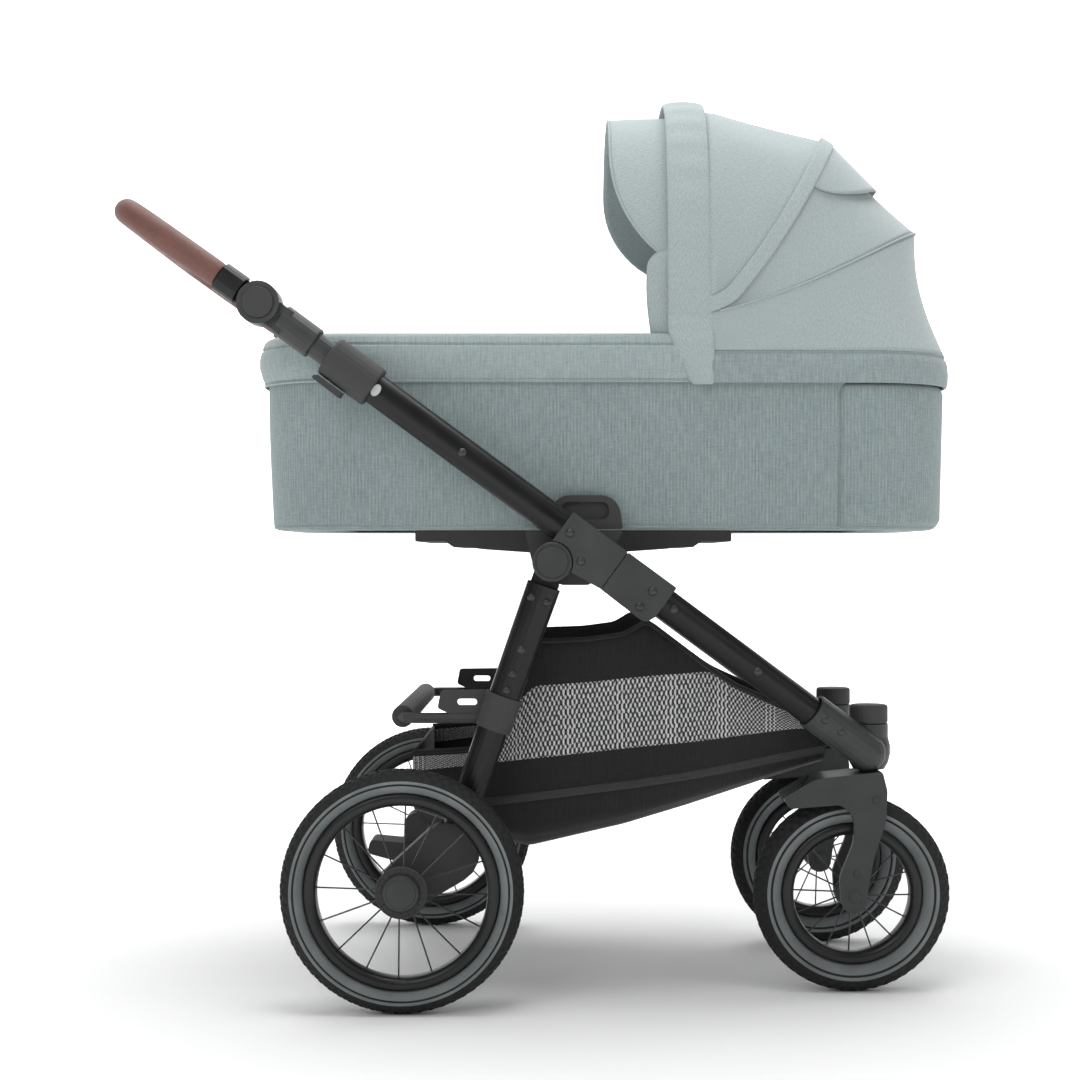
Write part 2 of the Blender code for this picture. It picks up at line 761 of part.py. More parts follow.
def make_handle_post(word, side):
    y = side * TUBE_Y
    tube_foot = frame_point(UPPER_LENGTH - 0.115 - POST_INSERT, 0, y)
    tube_top = frame_point(UPPER_LENGTH - 0.060, 0, y)
    post_tube = bar(f"post_tube_{word}", tube_foot, tube_top, POST_RADIUS, POST_HALF_WIDTH)
    body = bar(
        f"handle_post_{word}",
        frame_point(UPPER_LENGTH - 0.081, 0, y),
        frame_point(UPPER_LENGTH - 0.029, 0, y),
        0.0195,
        0.0185,
        "hinge_plastic",
    )
    round_edges(body, 0.0025)
    eye = disc(
        f"post_eye_{word}", KNUCKLE, side * POST_EYE_Y[0], side * POST_EYE_Y[1], KNUCKLE_RADIUS, sides=28
    )
    neck = slab(
        f"post_neck_{word}",
        frame_outline(
            [
                (UPPER_LENGTH - 0.002, 0.016),
                (UPPER_LENGTH - 0.040, 0.016),
                (UPPER_LENGTH - 0.040, -0.016),
                (UPPER_LENGTH - 0.002, -0.016),
            ]
        ),
        side * (POST_EYE_Y[0] + GAP),
        side * (TUBE_Y + 0.0160),
    )
    join(body, post_tube, eye, neck)
    recess = disc(
        f"button_recess_{word}",
        KNUCKLE,
        side * (POST_EYE_Y[1] - 0.008),
        side * (POST_EYE_Y[1] + 0.01),
        BUTTON_RADIUS + RUNNING,
    )
    return cut(body, recess)


def make_knuckle_button(word, side):
    depth = POST_EYE_Y[1] - 0.008
    button = disc(
        f"knuckle_button_{word}",
        KNUCKLE,
        side * (depth + 0.0035),
        side * (POST_EYE_Y[1] + 0.003),
        BUTTON_RADIUS,
        "black_plastic",
        sides=24,
    )
    return round_edges(button, 0.0015)


def handle_path(reach_from):
    """A U from one side to the other: out along the handle's line, round two corners and across."""
    points = []
    steps = 6
    out = HANDLE_REACH
    for side in (-1, 1):
        arm = [KNUCKLE + HANDLE_OUT * reach_from + Vector((0, side * TUBE_Y, 0))]
        for k in range(steps + 1):
            angle = math.pi / 2 * k / steps
            along = out - HANDLE_CORNER + HANDLE_CORNER * math.sin(angle)
            across = TUBE_Y - HANDLE_CORNER + HANDLE_CORNER * math.cos(angle)
            arm.append(KNUCKLE + HANDLE_OUT * along + Vector((0, side * across, 0)))
        points += arm if side < 0 else arm[::-1]
    return points


def make_handlebar_tube():
    bar_body = path_tube("handlebar_tube", handle_path(0.040), HANDLE_RADIUS, "frame_tube", resolution=2)
    tools = []
    for word, side in SIDES.items():
        y = side * TUBE_Y
        start = KNUCKLE + HANDLE_OUT * 0.029 + Vector((0, y, 0))
        end = KNUCKLE + HANDLE_OUT * (GRIP_START - 0.0015) + Vector((0, y, 0))
        tools.append(bar(f"handle_arm_{word}", start, end, 0.0185, 0.0175))
        tools.append(
            disc(
                f"handle_eye_{word}",
                KNUCKLE,
                side * ARM_SIDE_Y[0],
                side * ARM_SIDE_Y[1],
                KNUCKLE_RADIUS - 0.0004,
                sides=28,
            )
        )
        across = ABOVE * 0.015
        corners = [
            KNUCKLE + across,
            KNUCKLE - across,
            KNUCKLE + HANDLE_OUT * 0.040 - across,
            KNUCKLE + HANDLE_OUT * 0.040 + across,
        ]
        tools.append(
            slab(
                f"handle_neck_{word}",
                [(corner.x, corner.z) for corner in corners],
                side * (ARM_SIDE_Y[0] + 0.003),
                side * (ARM_SIDE_Y[1] - GAP),
            )
        )
    return join(bar_body, *tools)


def make_handlebar_grip():
    grip = path_tube("handlebar_grip", handle_path(GRIP_START), GRIP_RADIUS, "handle_leather", resolution=3)
    core = path_tube("grip_bore", handle_path(GRIP_START - 0.01), HANDLE_RADIUS + 2 * RUNNING, resolution=2)
    return cut(grip, core)


# ---------------------------------------------------------------- rear frame
def leg_point(share, side):
    """From just under the hinge, at 0, to the swing arm's pivot, at 1."""
    down = (ARM_FOOT - PIVOT).normalized()
    top = PIVOT + down * 0.043
    y = LEG_TOP_Y + (LEG_FOOT_Y - LEG_TOP_Y) * share
    spot = top.lerp(ARM_FOOT, share)
    return Vector((spot.x, side * y, spot.z))


def leg_bar(name, side, share_from, share_to, more, finish=None):
    def half(share, k):
        return LEG_TOP_HALF[k] + (LEG_FOOT_HALF[k] - LEG_TOP_HALF[k]) * share

    return bar(
        name,
        leg_point(share_from, side),
        leg_point(share_to, side),
        half(share_from, 0) + more,
        half(share_from, 1) + more,
        finish,
        taper=(half(share_to, 0) + more) / (half(share_from, 0) + more),
    )


def make_rear_leg(word, side):
    down = (ARM_FOOT - PIVOT).normalized()
    across = Vector((-down.z, 0, down.x)) * 0.017
    leg = leg_bar(f"rear_leg_{word}", side, -0.04, 1, 0, "frame_tube")
    eye = disc(f"leg_eye_{word}", PIVOT, side * LEG_EYE_Y[0], side * LEG_EYE_Y[1], LEG_EYE_RADIUS)
    corners = [PIVOT + across, PIVOT - across, PIVOT + down * 0.055 - across, PIVOT + down * 0.055 + across]
    neck = slab(
        f"leg_neck_{word}",
        [(corner.x, corner.z) for corner in corners],
        side * (LEG_EYE_Y[0] + GAP),
        side * (LEG_EYE_Y[1] - GAP),
    )
    join(leg, eye, neck)
    hole = disc(
        f"leg_hole_{word}",
        PIVOT,
        side * (LEG_EYE_Y[0] - 0.01),
        side * (LEG_EYE_Y[1] + 0.01),
        PIVOT_RADIUS + RUNNING,
        sides=16,
    )
    return cut(leg, hole)


def make_rear_cross_member():
    bar_x = REAR_AXLE_X - 0.005
    bar_z = REAR_RADIUS + 0.201
    arm_y = LEG_FOOT_Y - 0.001
    corner = 0.022
    path = []
    for side in (-1, 1):
        arm = [Vector((bar_x + 0.098, side * arm_y, bar_z))]
        for k in range(5):
            angle = math.pi / 2 * k / 4
            x = bar_x + corner - corner * math.sin(angle)
            y = arm_y - corner + corner * math.cos(angle)
            arm.append(Vector((x, side * y, bar_z)))
        path += arm if side < 0 else arm[::-1]
    member = path_tube("rear_cross_member", path, 0.0065, "black_plastic", resolution=2)
    tools = [
        bar("cross_bar", (bar_x, corner - arm_y, bar_z), (bar_x, arm_y - corner, bar_z), 0.0135, 0.0135)
    ]
    bores = []
    for word, side in SIDES.items():
        tools.append(leg_bar(f"leg_sleeve_{word}", side, 0.389, 0.520, 0.0032))
        plate = slab(
            f"sleeve_plate_{word}",
            filleted(
                [
                    (bar_x + 0.126, bar_z + 0.0345),
                    (bar_x + 0.048, bar_z + 0.0335),
                    (bar_x + 0.044, bar_z + 0.0120),
                    (bar_x + 0.060, bar_z + 0.0045),
                    (bar_x + 0.090, bar_z + 0.0025),
                    (bar_x + 0.112, bar_z - 0.0140),
                ],
                0.004,
            ),
            side * (arm_y - 0.004),
            side * (arm_y + 0.003),
        )
        slot = slab(
            f"plate_slot_{word}",
            filleted(
                [
                    (bar_x + 0.068, bar_z + 0.0235),
                    (bar_x + 0.092, bar_z + 0.0235),
                    (bar_x + 0.092, bar_z + 0.0155),
                    (bar_x + 0.068, bar_z + 0.0155),
                ],
                0.0035,
            ),
            side * (arm_y - 0.02),
            side * (arm_y + 0.02),
        )
        tools.append(plate)
        bores.append(slot)
        bores.append(leg_bar(f"leg_sleeve_bore_{word}", side, 0.32, 0.60, RUNNING))
    join(member, *tools)
    return cut(member, *bores)


def pear_outline(low, low_radius, high, high_radius, steps=9):
    """Two circles and the straight lines that touch both."""
    line = Vector((high.x - low.x, high.z - low.z))
    lean = math.atan2(line.y, line.x)
    open_angle = math.acos((low_radius - high_radius) / line.length)
    points = []
    for k in range(steps + 1):
        angle = lean + open_angle + (2 * math.pi - 2 * open_angle) * k / steps
        points.append((low.x + low_radius * math.cos(angle), low.z + low_radius * math.sin(angle)))
    for k in range(steps + 1):
        angle = lean - open_angle + 2 * open_angle * k / steps
        points.append((high.x + high_radius * math.cos(angle), high.z + high_radius * math.sin(angle)))
    return points


def make_swing_arm(word, side):
    arm = slab(
        f"swing_arm_{word}",
        pear_outline(REAR_AXLE, 0.030, ARM_FOOT, ARM_RADIUS),
        side * ARM_INNER_Y,
        side * ARM_OUTER_Y,
        "black_plastic",
    )
    round_edges(arm, 0.004)
    pocket = leg_bar(f"leg_pocket_{word}", side, 0.62, 1.0, 0.0035)
    foot = leg_point(1.0, side)
    down = (ARM_FOOT - PIVOT).normalized()
    rear_room = bar(
        f"pocket_room_{word}",
        leg_point(0.7, side) + Vector((0.012, 0, 0)),
        foot + Vector((0.002, 0, 0)),
        LEG_FOOT_HALF[0] + 0.0035,
        LEG_FOOT_HALF[1] + 0.003,
    )
    toe = bar(
        f"pocket_toe_{word}",
        foot - down * 0.004,
        foot + down * 0.0035,
        LEG_FOOT_HALF[0] + 0.003,
        LEG_FOOT_HALF[1] + 0.003,
    )
    hole = disc(
        f"arm_axle_hole_{word}",
        REAR_AXLE,
        side * (ARM_INNER_Y - 0.01),
        side * (ARM_OUTER_Y + 0.01),
        AXLE_RADIUS + RUNNING,
        sides=16,
    )
    return cut(arm, pocket, rear_room, toe, hole)


def make_rear_axle():
    end = REAR_WHEEL_Y + TYRE_WIDTH / 2 - 0.012
    shoulder = ARM_INNER_Y - GAP
    profile = [
        (0, end),
        (AXLE_RADIUS, end),
        (AXLE_RADIUS, shoulder),
        (0.011, shoulder),
        (0.011, -shoulder),
        (AXLE_RADIUS, -shoulder),
        (AXLE_RADIUS, -end),
        (0, -end),
    ]
    return turned("rear_axle", profile, REAR_AXLE, "frame_tube", steps=16)


def make_brake_pedal():
    sleeve_half = 0.032
    pedal = disc("brake_pedal", REAR_AXLE, -sleeve_half, sleeve_half, 0.0185, "black_plastic")
    x, z = REAR_AXLE.x, REAR_AXLE.z
    tail = slab(
        "pedal_tail",
        filleted(
            [(x, z + 0.018), (x - 0.062, z + 0.024), (x - 0.066, z + 0.006), (x, z - 0.012)],
            [0.002, 0.006, 0.006, 0.002],
        ),
        -0.027,
        0.027,
    )
    ear = slab(
        "pedal_ear",
        filleted(
            [
                (x - 0.018, z),
                (x - 0.016, z + 0.052),
                (x - 0.004, z + 0.060),
                (x + 0.012, z + 0.040),
                (x + 0.016, z),
            ],
            [0.002, 0.008, 0.006, 0.010, 0.002],
        ),
        -0.022,
        0.022,
    )
    join(pedal, tail, ear)
    return cut(pedal, disc("pedal_bore", REAR_AXLE, -0.05, 0.05, 0.011 + RUNNING, sides=16))


# ---------------------------------------------------------------- wheels
def make_tyre(name, centre, radius, depth):
    half = TYRE_WIDTH / 2
    inner = radius - depth
    seat = RIM_WIDTH / 2 + 0.002
    profile = [
        (inner, seat),
        (inner + depth * 0.45, half),
        (radius - depth * 0.17, half * 0.78),
        (radius, half * 0.34),
    ]
    loop = profile + [(r, -along) for r, along in reversed(profile)]
    tyre = turned(name, loop, centre, "tyre_rubber", steps=WHEEL_STEPS, closed=True)
    return tyre


def make_wheel(name, centre, radius, depth, hub_profile, bore):
    """Rim, spokes and hub in one piece. The hub's profile has its outer side down."""
    top = radius - depth - GAP
    foot = top - RIM_DEPTH
    half = RIM_WIDTH / 2
    section = [(top, half), (top, -half), (foot, -half + 0.004), (foot, half - 0.004)]
    wheel = turned(name, section, centre, "rim_metal", steps=WHEEL_STEPS, closed=True)
    hub = turned(f"{name}_hub", hub_profile, centre, steps=16)
    spokes = []
    for k in range(SPOKES):
        angle = 2 * math.pi * (k + 0.5) / SPOKES
        ray = Vector((math.cos(angle), 0, math.sin(angle)))
        lean = 0.007 if k % 2 else -0.007
        start = centre + ray * (HUB_RADIUS * 0.6) + Vector((0, lean, 0))
        end = centre + ray * (foot + 0.005)
        half_spoke = SPOKE_THICKNESS / 2
        spokes.append(bar(f"{name}_spoke_{k}", start, end, half_spoke, half_spoke, sides=4))
    join(wheel, hub, *spokes)
    hole = disc(f"{name}_bore", centre, centre.y - 0.08, centre.y + 0.08, bore, sides=16)
    return cut(wheel, hole)


def make_rear_wheel(word, side):
    centre = Vector((REAR_AXLE.x, side * REAR_WHEEL_Y, REAR_AXLE.z))
    inner_end = TYRE_WIDTH / 2 + WHEEL_ROOM - 0.0012
    outward = [
        (0, 0.016),
        (0.031, 0.016),
        (REAR_DISC_RADIUS, 0.011),
        (HUB_RADIUS, 0.005),
        (HUB_RADIUS, -inner_end),
        (0, -inner_end),
    ]
    if side > 0:
        profile = outward
    else:
        profile = [(r, -along) for r, along in reversed(outward)]
    name = f"rear_wheel_{word}"
    tyre = make_tyre(f"rear_tyre_{word}", centre, REAR_RADIUS, REAR_TYRE_DEPTH)
    wheel = make_wheel(name, centre, REAR_RADIUS, REAR_TYRE_DEPTH, profile, AXLE_RADIUS + RUNNING)
    cap = disc(
        f"hub_cap_{word}",
        centre,
        centre.y + side * (0.016 + GAP),
        centre.y + side * 0.0255,
        CAP_RADIUS,
        "black_plastic",
        sides=28,
    )
    round_edges(cap, 0.003)
    return [tyre, wheel, cap]


def make_front_wheel(word, side):
    centre = Vector((FRONT_AXLE.x, side * HEAD_Y, FRONT_AXLE.z))
    end = FORK_GAP - SWING_ROOM
    profile = [(0, end), (0.010, end), (0.017, 0.014), (0.017, -0.014), (0.010, -end), (0, -end)]
    tyre = make_tyre(f"front_tyre_{word}", centre, FRONT_RADIUS, FRONT_TYRE_DEPTH)
    wheel = make_wheel(
        f"front_wheel_{word}", centre, FRONT_RADIUS, FRONT_TYRE_DEPTH, profile, BOLT_RADIUS + RUNNING
    )
    return [tyre, wheel]


FORK_GAP = TYRE_WIDTH / 2 + WHEEL_ROOM
BOLT_RADIUS = 0.005


def make_fork(word, side):
    """Two cheeks beside the wheel, a bridge over it and a stem up into the head."""
    axle_x, axle_z = FRONT_AXLE.x, FRONT_AXLE.z
    top = 2 * FRONT_RADIUS + 0.0315
    corners = [
        (SWIVEL_X + 0.012, top),
        (SWIVEL_X + 0.018, top - 0.024),
        (SWIVEL_X + 0.016, top - 0.062),
        (SWIVEL_X + 0.001, top - 0.108),
        (axle_x + 0.0165, axle_z + 0.010),
        (axle_x + 0.0120, axle_z - 0.020),
        (axle_x - 0.0160, axle_z - 0.020),
        (axle_x - 0.0195, axle_z + 0.024),
        (SWIVEL_X - 0.0240, top - 0.088),
        (SWIVEL_X - 0.0230, top - 0.054),
        (SWIVEL_X - 0.0400, top - 0.041),
        (SWIVEL_X - 0.1020, top - 0.046),
        (SWIVEL_X - 0.1110, top - 0.033),
        (SWIVEL_X - 0.0700, top - 0.009),
    ]
    radii = [0.004, 0.02, 0.05, 0.05, 0.03, 0.013, 0.013, 0.03, 0.04, 0.02, 0.012, 0.004, 0.004, 0.03]
    outline = filleted(corners, radii, steps=2)
    middle = side * HEAD_Y
    bridge_low = 2 * FRONT_RADIUS + 0.0045
    bridge = slab(
        f"fork_{word}",
        filleted(
            [
                (SWIVEL_X + 0.012, top),
                (SWIVEL_X + 0.018, bridge_low),
                (SWIVEL_X - 0.085, bridge_low),
                (SWIVEL_X - 0.070, top - 0.009),
            ],
            0.003,
        ),
        middle - FORK_GAP - 0.004,
        middle + FORK_GAP + 0.004,
        "hinge_plastic",
    )
    tools = []
    for place_word, way in (("outer", 1), ("inner", -1)):
        tools.append(
            slab(
                f"fork_cheek_{place_word}_{word}",
                outline,
                middle + way * FORK_GAP,
                middle + way * (FORK_GAP + CHEEK_THICKNESS),
            )
        )
    stem_top = 2 * FRONT_RADIUS + 0.0883 - 0.012
    tools.append(post(f"fork_stem_{word}", SWIVEL_X, middle, top - 0.006, stem_top, STEM_RADIUS, sides=16))
    tools.append(
        disc(
            f"fork_bolt_{word}",
            FRONT_AXLE,
            middle - FORK_GAP - 0.004,
            middle + FORK_GAP + 0.004,
            BOLT_RADIUS,
            sides=16,
        )
    )
    return join(bridge, *tools)


# ---------------------------------------------------------------- carrycot
def plan_ring(foot, head, half_width, corner, z, steps=5):
    """A rounded rectangle seen from above, at height z."""
    flat = filleted(
        [(foot, -half_width), (head, -half_width), (head, half_width), (foot, half_width)],
        corner,
        steps=steps,
    )
    return [Vector((point[0], point[1], z)) for point in flat]


def tub_ring(z, inward=0.0):
    """The tub's outline at a height, so far in from its outer face. It is a little narrower at its foot."""
    share = (COT_RIM - z) / COT_HEIGHT
    taper = COT_TAPER * share
    return plan_ring(
        COT_FOOT + taper + inward,
        COT_HEAD - taper - inward,
        COT_HALF_WIDTH - taper * 0.5 - inward,
        COT_CORNER - inward,
        z,
    )


def make_carrycot():
    tub = lofted("carrycot_tub", [tub_ring(COT_FLOOR), tub_ring(COT_RIM)], "grey_fabric")
    hollow = lofted(
        "tub_hollow", [tub_ring(COT_FLOOR + 0.010, COT_WALL), tub_ring(COT_RIM + 0.02, COT_WALL)]
    )
    cut(tub, hollow)
    room = COT_WALL + 0.006
    mattress = lofted(
        "mattress",
        [
            tub_ring(COT_FLOOR + 0.0105, room + 0.004),
            tub_ring(COT_FLOOR + 0.016, room),
            tub_ring(COT_FLOOR + 0.0105 + MATTRESS_HEIGHT - 0.008, room),
            tub_ring(COT_FLOOR + 0.0105 + MATTRESS_HEIGHT, room + 0.008),
        ],
        "lining_fabric",
    )
    middle = PIVOT.x + 0.026
    top = COT_FLOOR - GAP
    half_profile = [
        (0.198, 0),
        (0.198, -0.014),
        (0.160, -0.014),
        (0.150, -0.021),
        (0.128, -0.021),
        (0.118, -0.023),
        (0.060, -BASE_DEPTH),
    ]
    right = [(middle + x, top + z) for x, z in half_profile]
    left = [(middle - x, top + z) for x, z in reversed(half_profile)]
    base = slab(
        "carrycot_base",
        filleted(right + left, 0.002, steps=2),
        -BASE_HALF_WIDTH,
        BASE_HALF_WIDTH,
        "black_plastic",
    )
    return [tub, mattress, base]


def make_release_handle(word, side):
    """A half-moon grip on the tub's side, over the hinge housing."""
    middle = PIVOT.x + 0.040
    foot = COT_FLOOR + GAP * 2
    outline = filleted(
        [
            (middle - 0.046, foot),
            (middle + 0.046, foot),
            (middle + 0.040, foot + 0.041),
            (middle - 0.040, foot + 0.041),
        ],
        [0.002, 0.002, 0.024, 0.024],
        steps=5,
    )
    inner = COT_HALF_WIDTH + GAP * 2
    handle = slab(f"release_handle_{word}", outline, side * inner, side * (inner + 0.013), "black_plastic")
    finger = slab(
        f"finger_recess_{word}",
        filleted(
            [
                (middle - 0.030, foot + 0.012),
                (middle + 0.030, foot + 0.012),
                (middle + 0.028, foot + 0.033),
                (middle - 0.028, foot + 0.033),
            ],
            0.008,
        ),
        side * (inner + 0.007),
        side * (inner + 0.03),
    )
    return cut(handle, finger)


def make_apron():
    """A cloth cover over the foot of the tub, with a hem down its sides."""
    head_x = HOOD_PIVOT.x - BAND_SETBACK - BAND_WIDTH - APRON_GAP
    top = COT_RIM + 0.0135
    outer = [
        plan_ring(
            COT_FOOT - HEM_OUT,
            COT_HEAD + HEM_OUT,
            COT_HALF_WIDTH + HEM_OUT,
            COT_CORNER + HEM_OUT,
            HEM_BOTTOM,
        ),
        plan_ring(
            COT_FOOT - HEM_OUT,
            COT_HEAD + HEM_OUT,
            COT_HALF_WIDTH + HEM_OUT,
            COT_CORNER + HEM_OUT,
            COT_RIM - 0.002,
        ),
        plan_ring(
            COT_FOOT - HEM_OUT + 0.006, COT_HEAD, COT_HALF_WIDTH + HEM_OUT - 0.006, COT_CORNER, top - 0.002
        ),
        plan_ring(COT_FOOT + 0.012, COT_HEAD - 0.02, COT_HALF_WIDTH - 0.012, COT_CORNER - 0.018, top),
    ]
    apron = lofted("apron", outer, "grey_fabric")
    room = GAP * 4
    hollow = lofted(
        "apron_hollow",
        [
            plan_ring(
                COT_FOOT - room,
                COT_HEAD + room,
                COT_HALF_WIDTH + room,
                COT_CORNER + room,
                HEM_BOTTOM - 0.01,
            ),
            plan_ring(
                COT_FOOT - room, COT_HEAD + room, COT_HALF_WIDTH + room, COT_CORNER + room, COT_RIM + 0.001
            ),
            plan_ring(
                COT_FOOT + 0.006,
                COT_HEAD - 0.006,
                COT_HALF_WIDTH - 0.006,
                COT_CORNER - 0.008,
                top - APRON_THICKNESS,
            ),
        ],
    )
    beyond = block("apron_end", (head_x, -0.3, HEM_BOTTOM - 0.05), (COT_HEAD + 0.1, 0.3, top + 0.05))
    return cut(apron, hollow, beyond)


# ---------------------------------------------------------------- hood
def arch(angle, radius, half_width, steps=16, low=0.02, forward=0.0):
    """A bow in the plane through the hood's pivot line that leans by angle: a rounded arch from side to side.

    Across is the half width times cos and up the plane is the radius times sin,
    each to the power 2 / ARCH_POWER.
    A leaning bow also drifts back, most of all halfway up, and an upright one doesn't.
    """
    power = 2 / ARCH_POWER
    lean = min(1.0, (math.pi / 2 - angle) / (math.pi / 2 - MIDDLE_BOW_ANGLE))
    points = []
    for k in range(steps + 1):
        turn = low + (math.pi - 2 * low) * k / steps
        across = -math.copysign(abs(math.cos(turn)) ** power, math.cos(turn)) * half_width
        up = math.sin(turn) ** power * radius
        drift = lean * BOW_DRIFT * math.sin(math.pi * min(1.0, up / HOOD_REAR_RADIUS) ** 0.8)
        x = up * math.cos(angle) + drift * math.sin(angle) - forward
        points.append(HOOD_PIVOT + Vector((x, across, up * math.sin(angle) - drift * math.cos(angle))))
    return points


def make_front_bow():
    width = HOOD_HALF_WIDTH + 0.0015
    outer_radius = HOOD_RADIUS
    rows = []
    for inset, out in ((0.0, -0.002), (0.006, 0.0), (BAND_WIDTH - 0.006, 0.0), (BAND_WIDTH, -0.002)):
        rows.append(
            arch(math.pi / 2, outer_radius + out, width + out, low=0.004, forward=BAND_SETBACK + inset)
        )
    band = lofted(
        "hood_front_bow", rows, "grey_fabric", caps=False, wall=BAND_THICKNESS, closed_rings=False
    )
    return face_outward(band)


def face_outward(shell):
    """Turns an open hood surface so that its wall grows inwards, towards the hood's middle."""
    bm = bmesh.new()
    bm.from_mesh(shell.data)
    middle = HOOD_PIVOT + Vector((0.04, 0, 0.02))
    agree = sum(
        (face.calc_center_median() - middle).dot(face.normal) * face.calc_area()
        for face in bm.faces
    )
    if agree < 0:
        bmesh.ops.reverse_faces(bm, faces=bm.faces)
    bm.to_mesh(shell.data)
    bm.free()
    return shell


def make_visor():
    """A cloth peak ahead of the band, widest at the top and running out down the sides."""
    width = HOOD_HALF_WIDTH - 0.010
    radius = HOOD_RADIUS - BAND_THICKNESS - 0.0125
    near = BAND_SETBACK + BAND_WIDTH + 0.0006
    rows = []
    for share in (0.0, 0.5, 1.0):
        row = []
        for point in arch(math.pi / 2, radius - 0.003 * share, width - 0.004 * share, low=0.10, steps=14):
            rise = min(1.0, max(0.0, ((point.z - HOOD_PIVOT.z) / radius - 0.26) / 0.48))
            reach = VISOR_REACH * max(0.05, (1 - (1 - rise) ** 2.2) ** 0.8)
            row.append(point + Vector((-near - reach * share, 0, 0)))
        rows.append(row)
    visor = lofted("hood_visor", rows, "grey_fabric", caps=False, wall=0.003, closed_rings=False)
    return face_outward(visor)


def fan_panel(name, near, far, sag, low):
    """Cloth stretched from one arch (angle, radius) to another, drawn in by sag halfway between them."""
    first = arch(*near, HOOD_HALF_WIDTH - 0.002, low=low)
    last = arch(*far, HOOD_HALF_WIDTH - 0.002, low=low)
    rows = []
    for k in range(4):
        share = k / 3
        row = []
        for start, end in zip(first, last):
            point = start.lerp(end, share)
            inward = Vector((HOOD_PIVOT.x - point.x, 0, HOOD_PIVOT.z - point.z))
            row.append(point + inward.normalized() * sag * math.sin(math.pi * share))
        rows.append(row)
    panel = lofted(name, rows, "grey_fabric", caps=False, wall=PANEL_THICKNESS, closed_rings=False)
    return face_outward(panel)


def make_bow(name, angle, radius, low=0.05):
    inset = PANEL_THICKNESS + BOW_RADIUS + 0.0035
    points = arch(angle, radius - inset, HOOD_HALF_WIDTH - 0.002 - inset, low=low, steps=20)
    return path_tube(name, points, BOW_RADIUS, "black_plastic", resolution=1)


def make_back_panel():
    """From the rear bow down to the hem, round the head end of the tub."""
    skirt_x = HOOD_PIVOT.x - BAND_SETBACK - BAND_WIDTH
    low_angle = REAR_BOW_ANGLE - math.radians(0.8)
    top = arch(low_angle, HOOD_REAR_RADIUS, HOOD_HALF_WIDTH, low=0.0, steps=20)
    top = [Vector((skirt_x, top[0].y, HOOD_PIVOT.z))] + top + [Vector((skirt_x, top[-1].y, HOOD_PIVOT.z))]

    def hem(z, out):
        ring = filleted(
            [
                (HOOD_PIVOT.x, -COT_HALF_WIDTH - out),
                (COT_HEAD + out, -COT_HALF_WIDTH - out),
                (COT_HEAD + out, COT_HALF_WIDTH + out),
                (HOOD_PIVOT.x, COT_HALF_WIDTH + out),
            ],
            [0, COT_CORNER + out, COT_CORNER + out, 0],
            steps=6,
        )
        lengths = [0.0]
        for first, second in zip(ring, ring[1:]):
            lengths.append(lengths[-1] + (second - first).length)
        marks = np.linspace(0, lengths[-1], 21)
        xs = np.interp(marks, lengths, [point[0] for point in ring])
        ys = np.interp(marks, lengths, [point[1] for point in ring])
        points = [Vector((float(x), float(y), z)) for x, y in zip(xs, ys)]
        return [Vector((skirt_x, points[0].y, z))] + points + [Vector((skirt_x, points[-1].y, z))]

    rim = hem(COT_RIM + 0.014, HEM_OUT)
    rows = [top]
    for share in (0.33, 0.67):
        rows.append([first.lerp(second, share) for first, second in zip(top, rim)])
    rows += [rim, hem(COT_RIM - 0.004, HEM_OUT), hem(HEM_BOTTOM, HEM_OUT)]
    panel = lofted(
        "hood_back_panel", rows, "grey_fabric", caps=False, wall=PANEL_THICKNESS, closed_rings=False
    )
    return face_outward(panel)


# ---------------------------------------------------------------- the stroller
def at(point, y=0.0):
    return Vector((point.x, y, point.z))


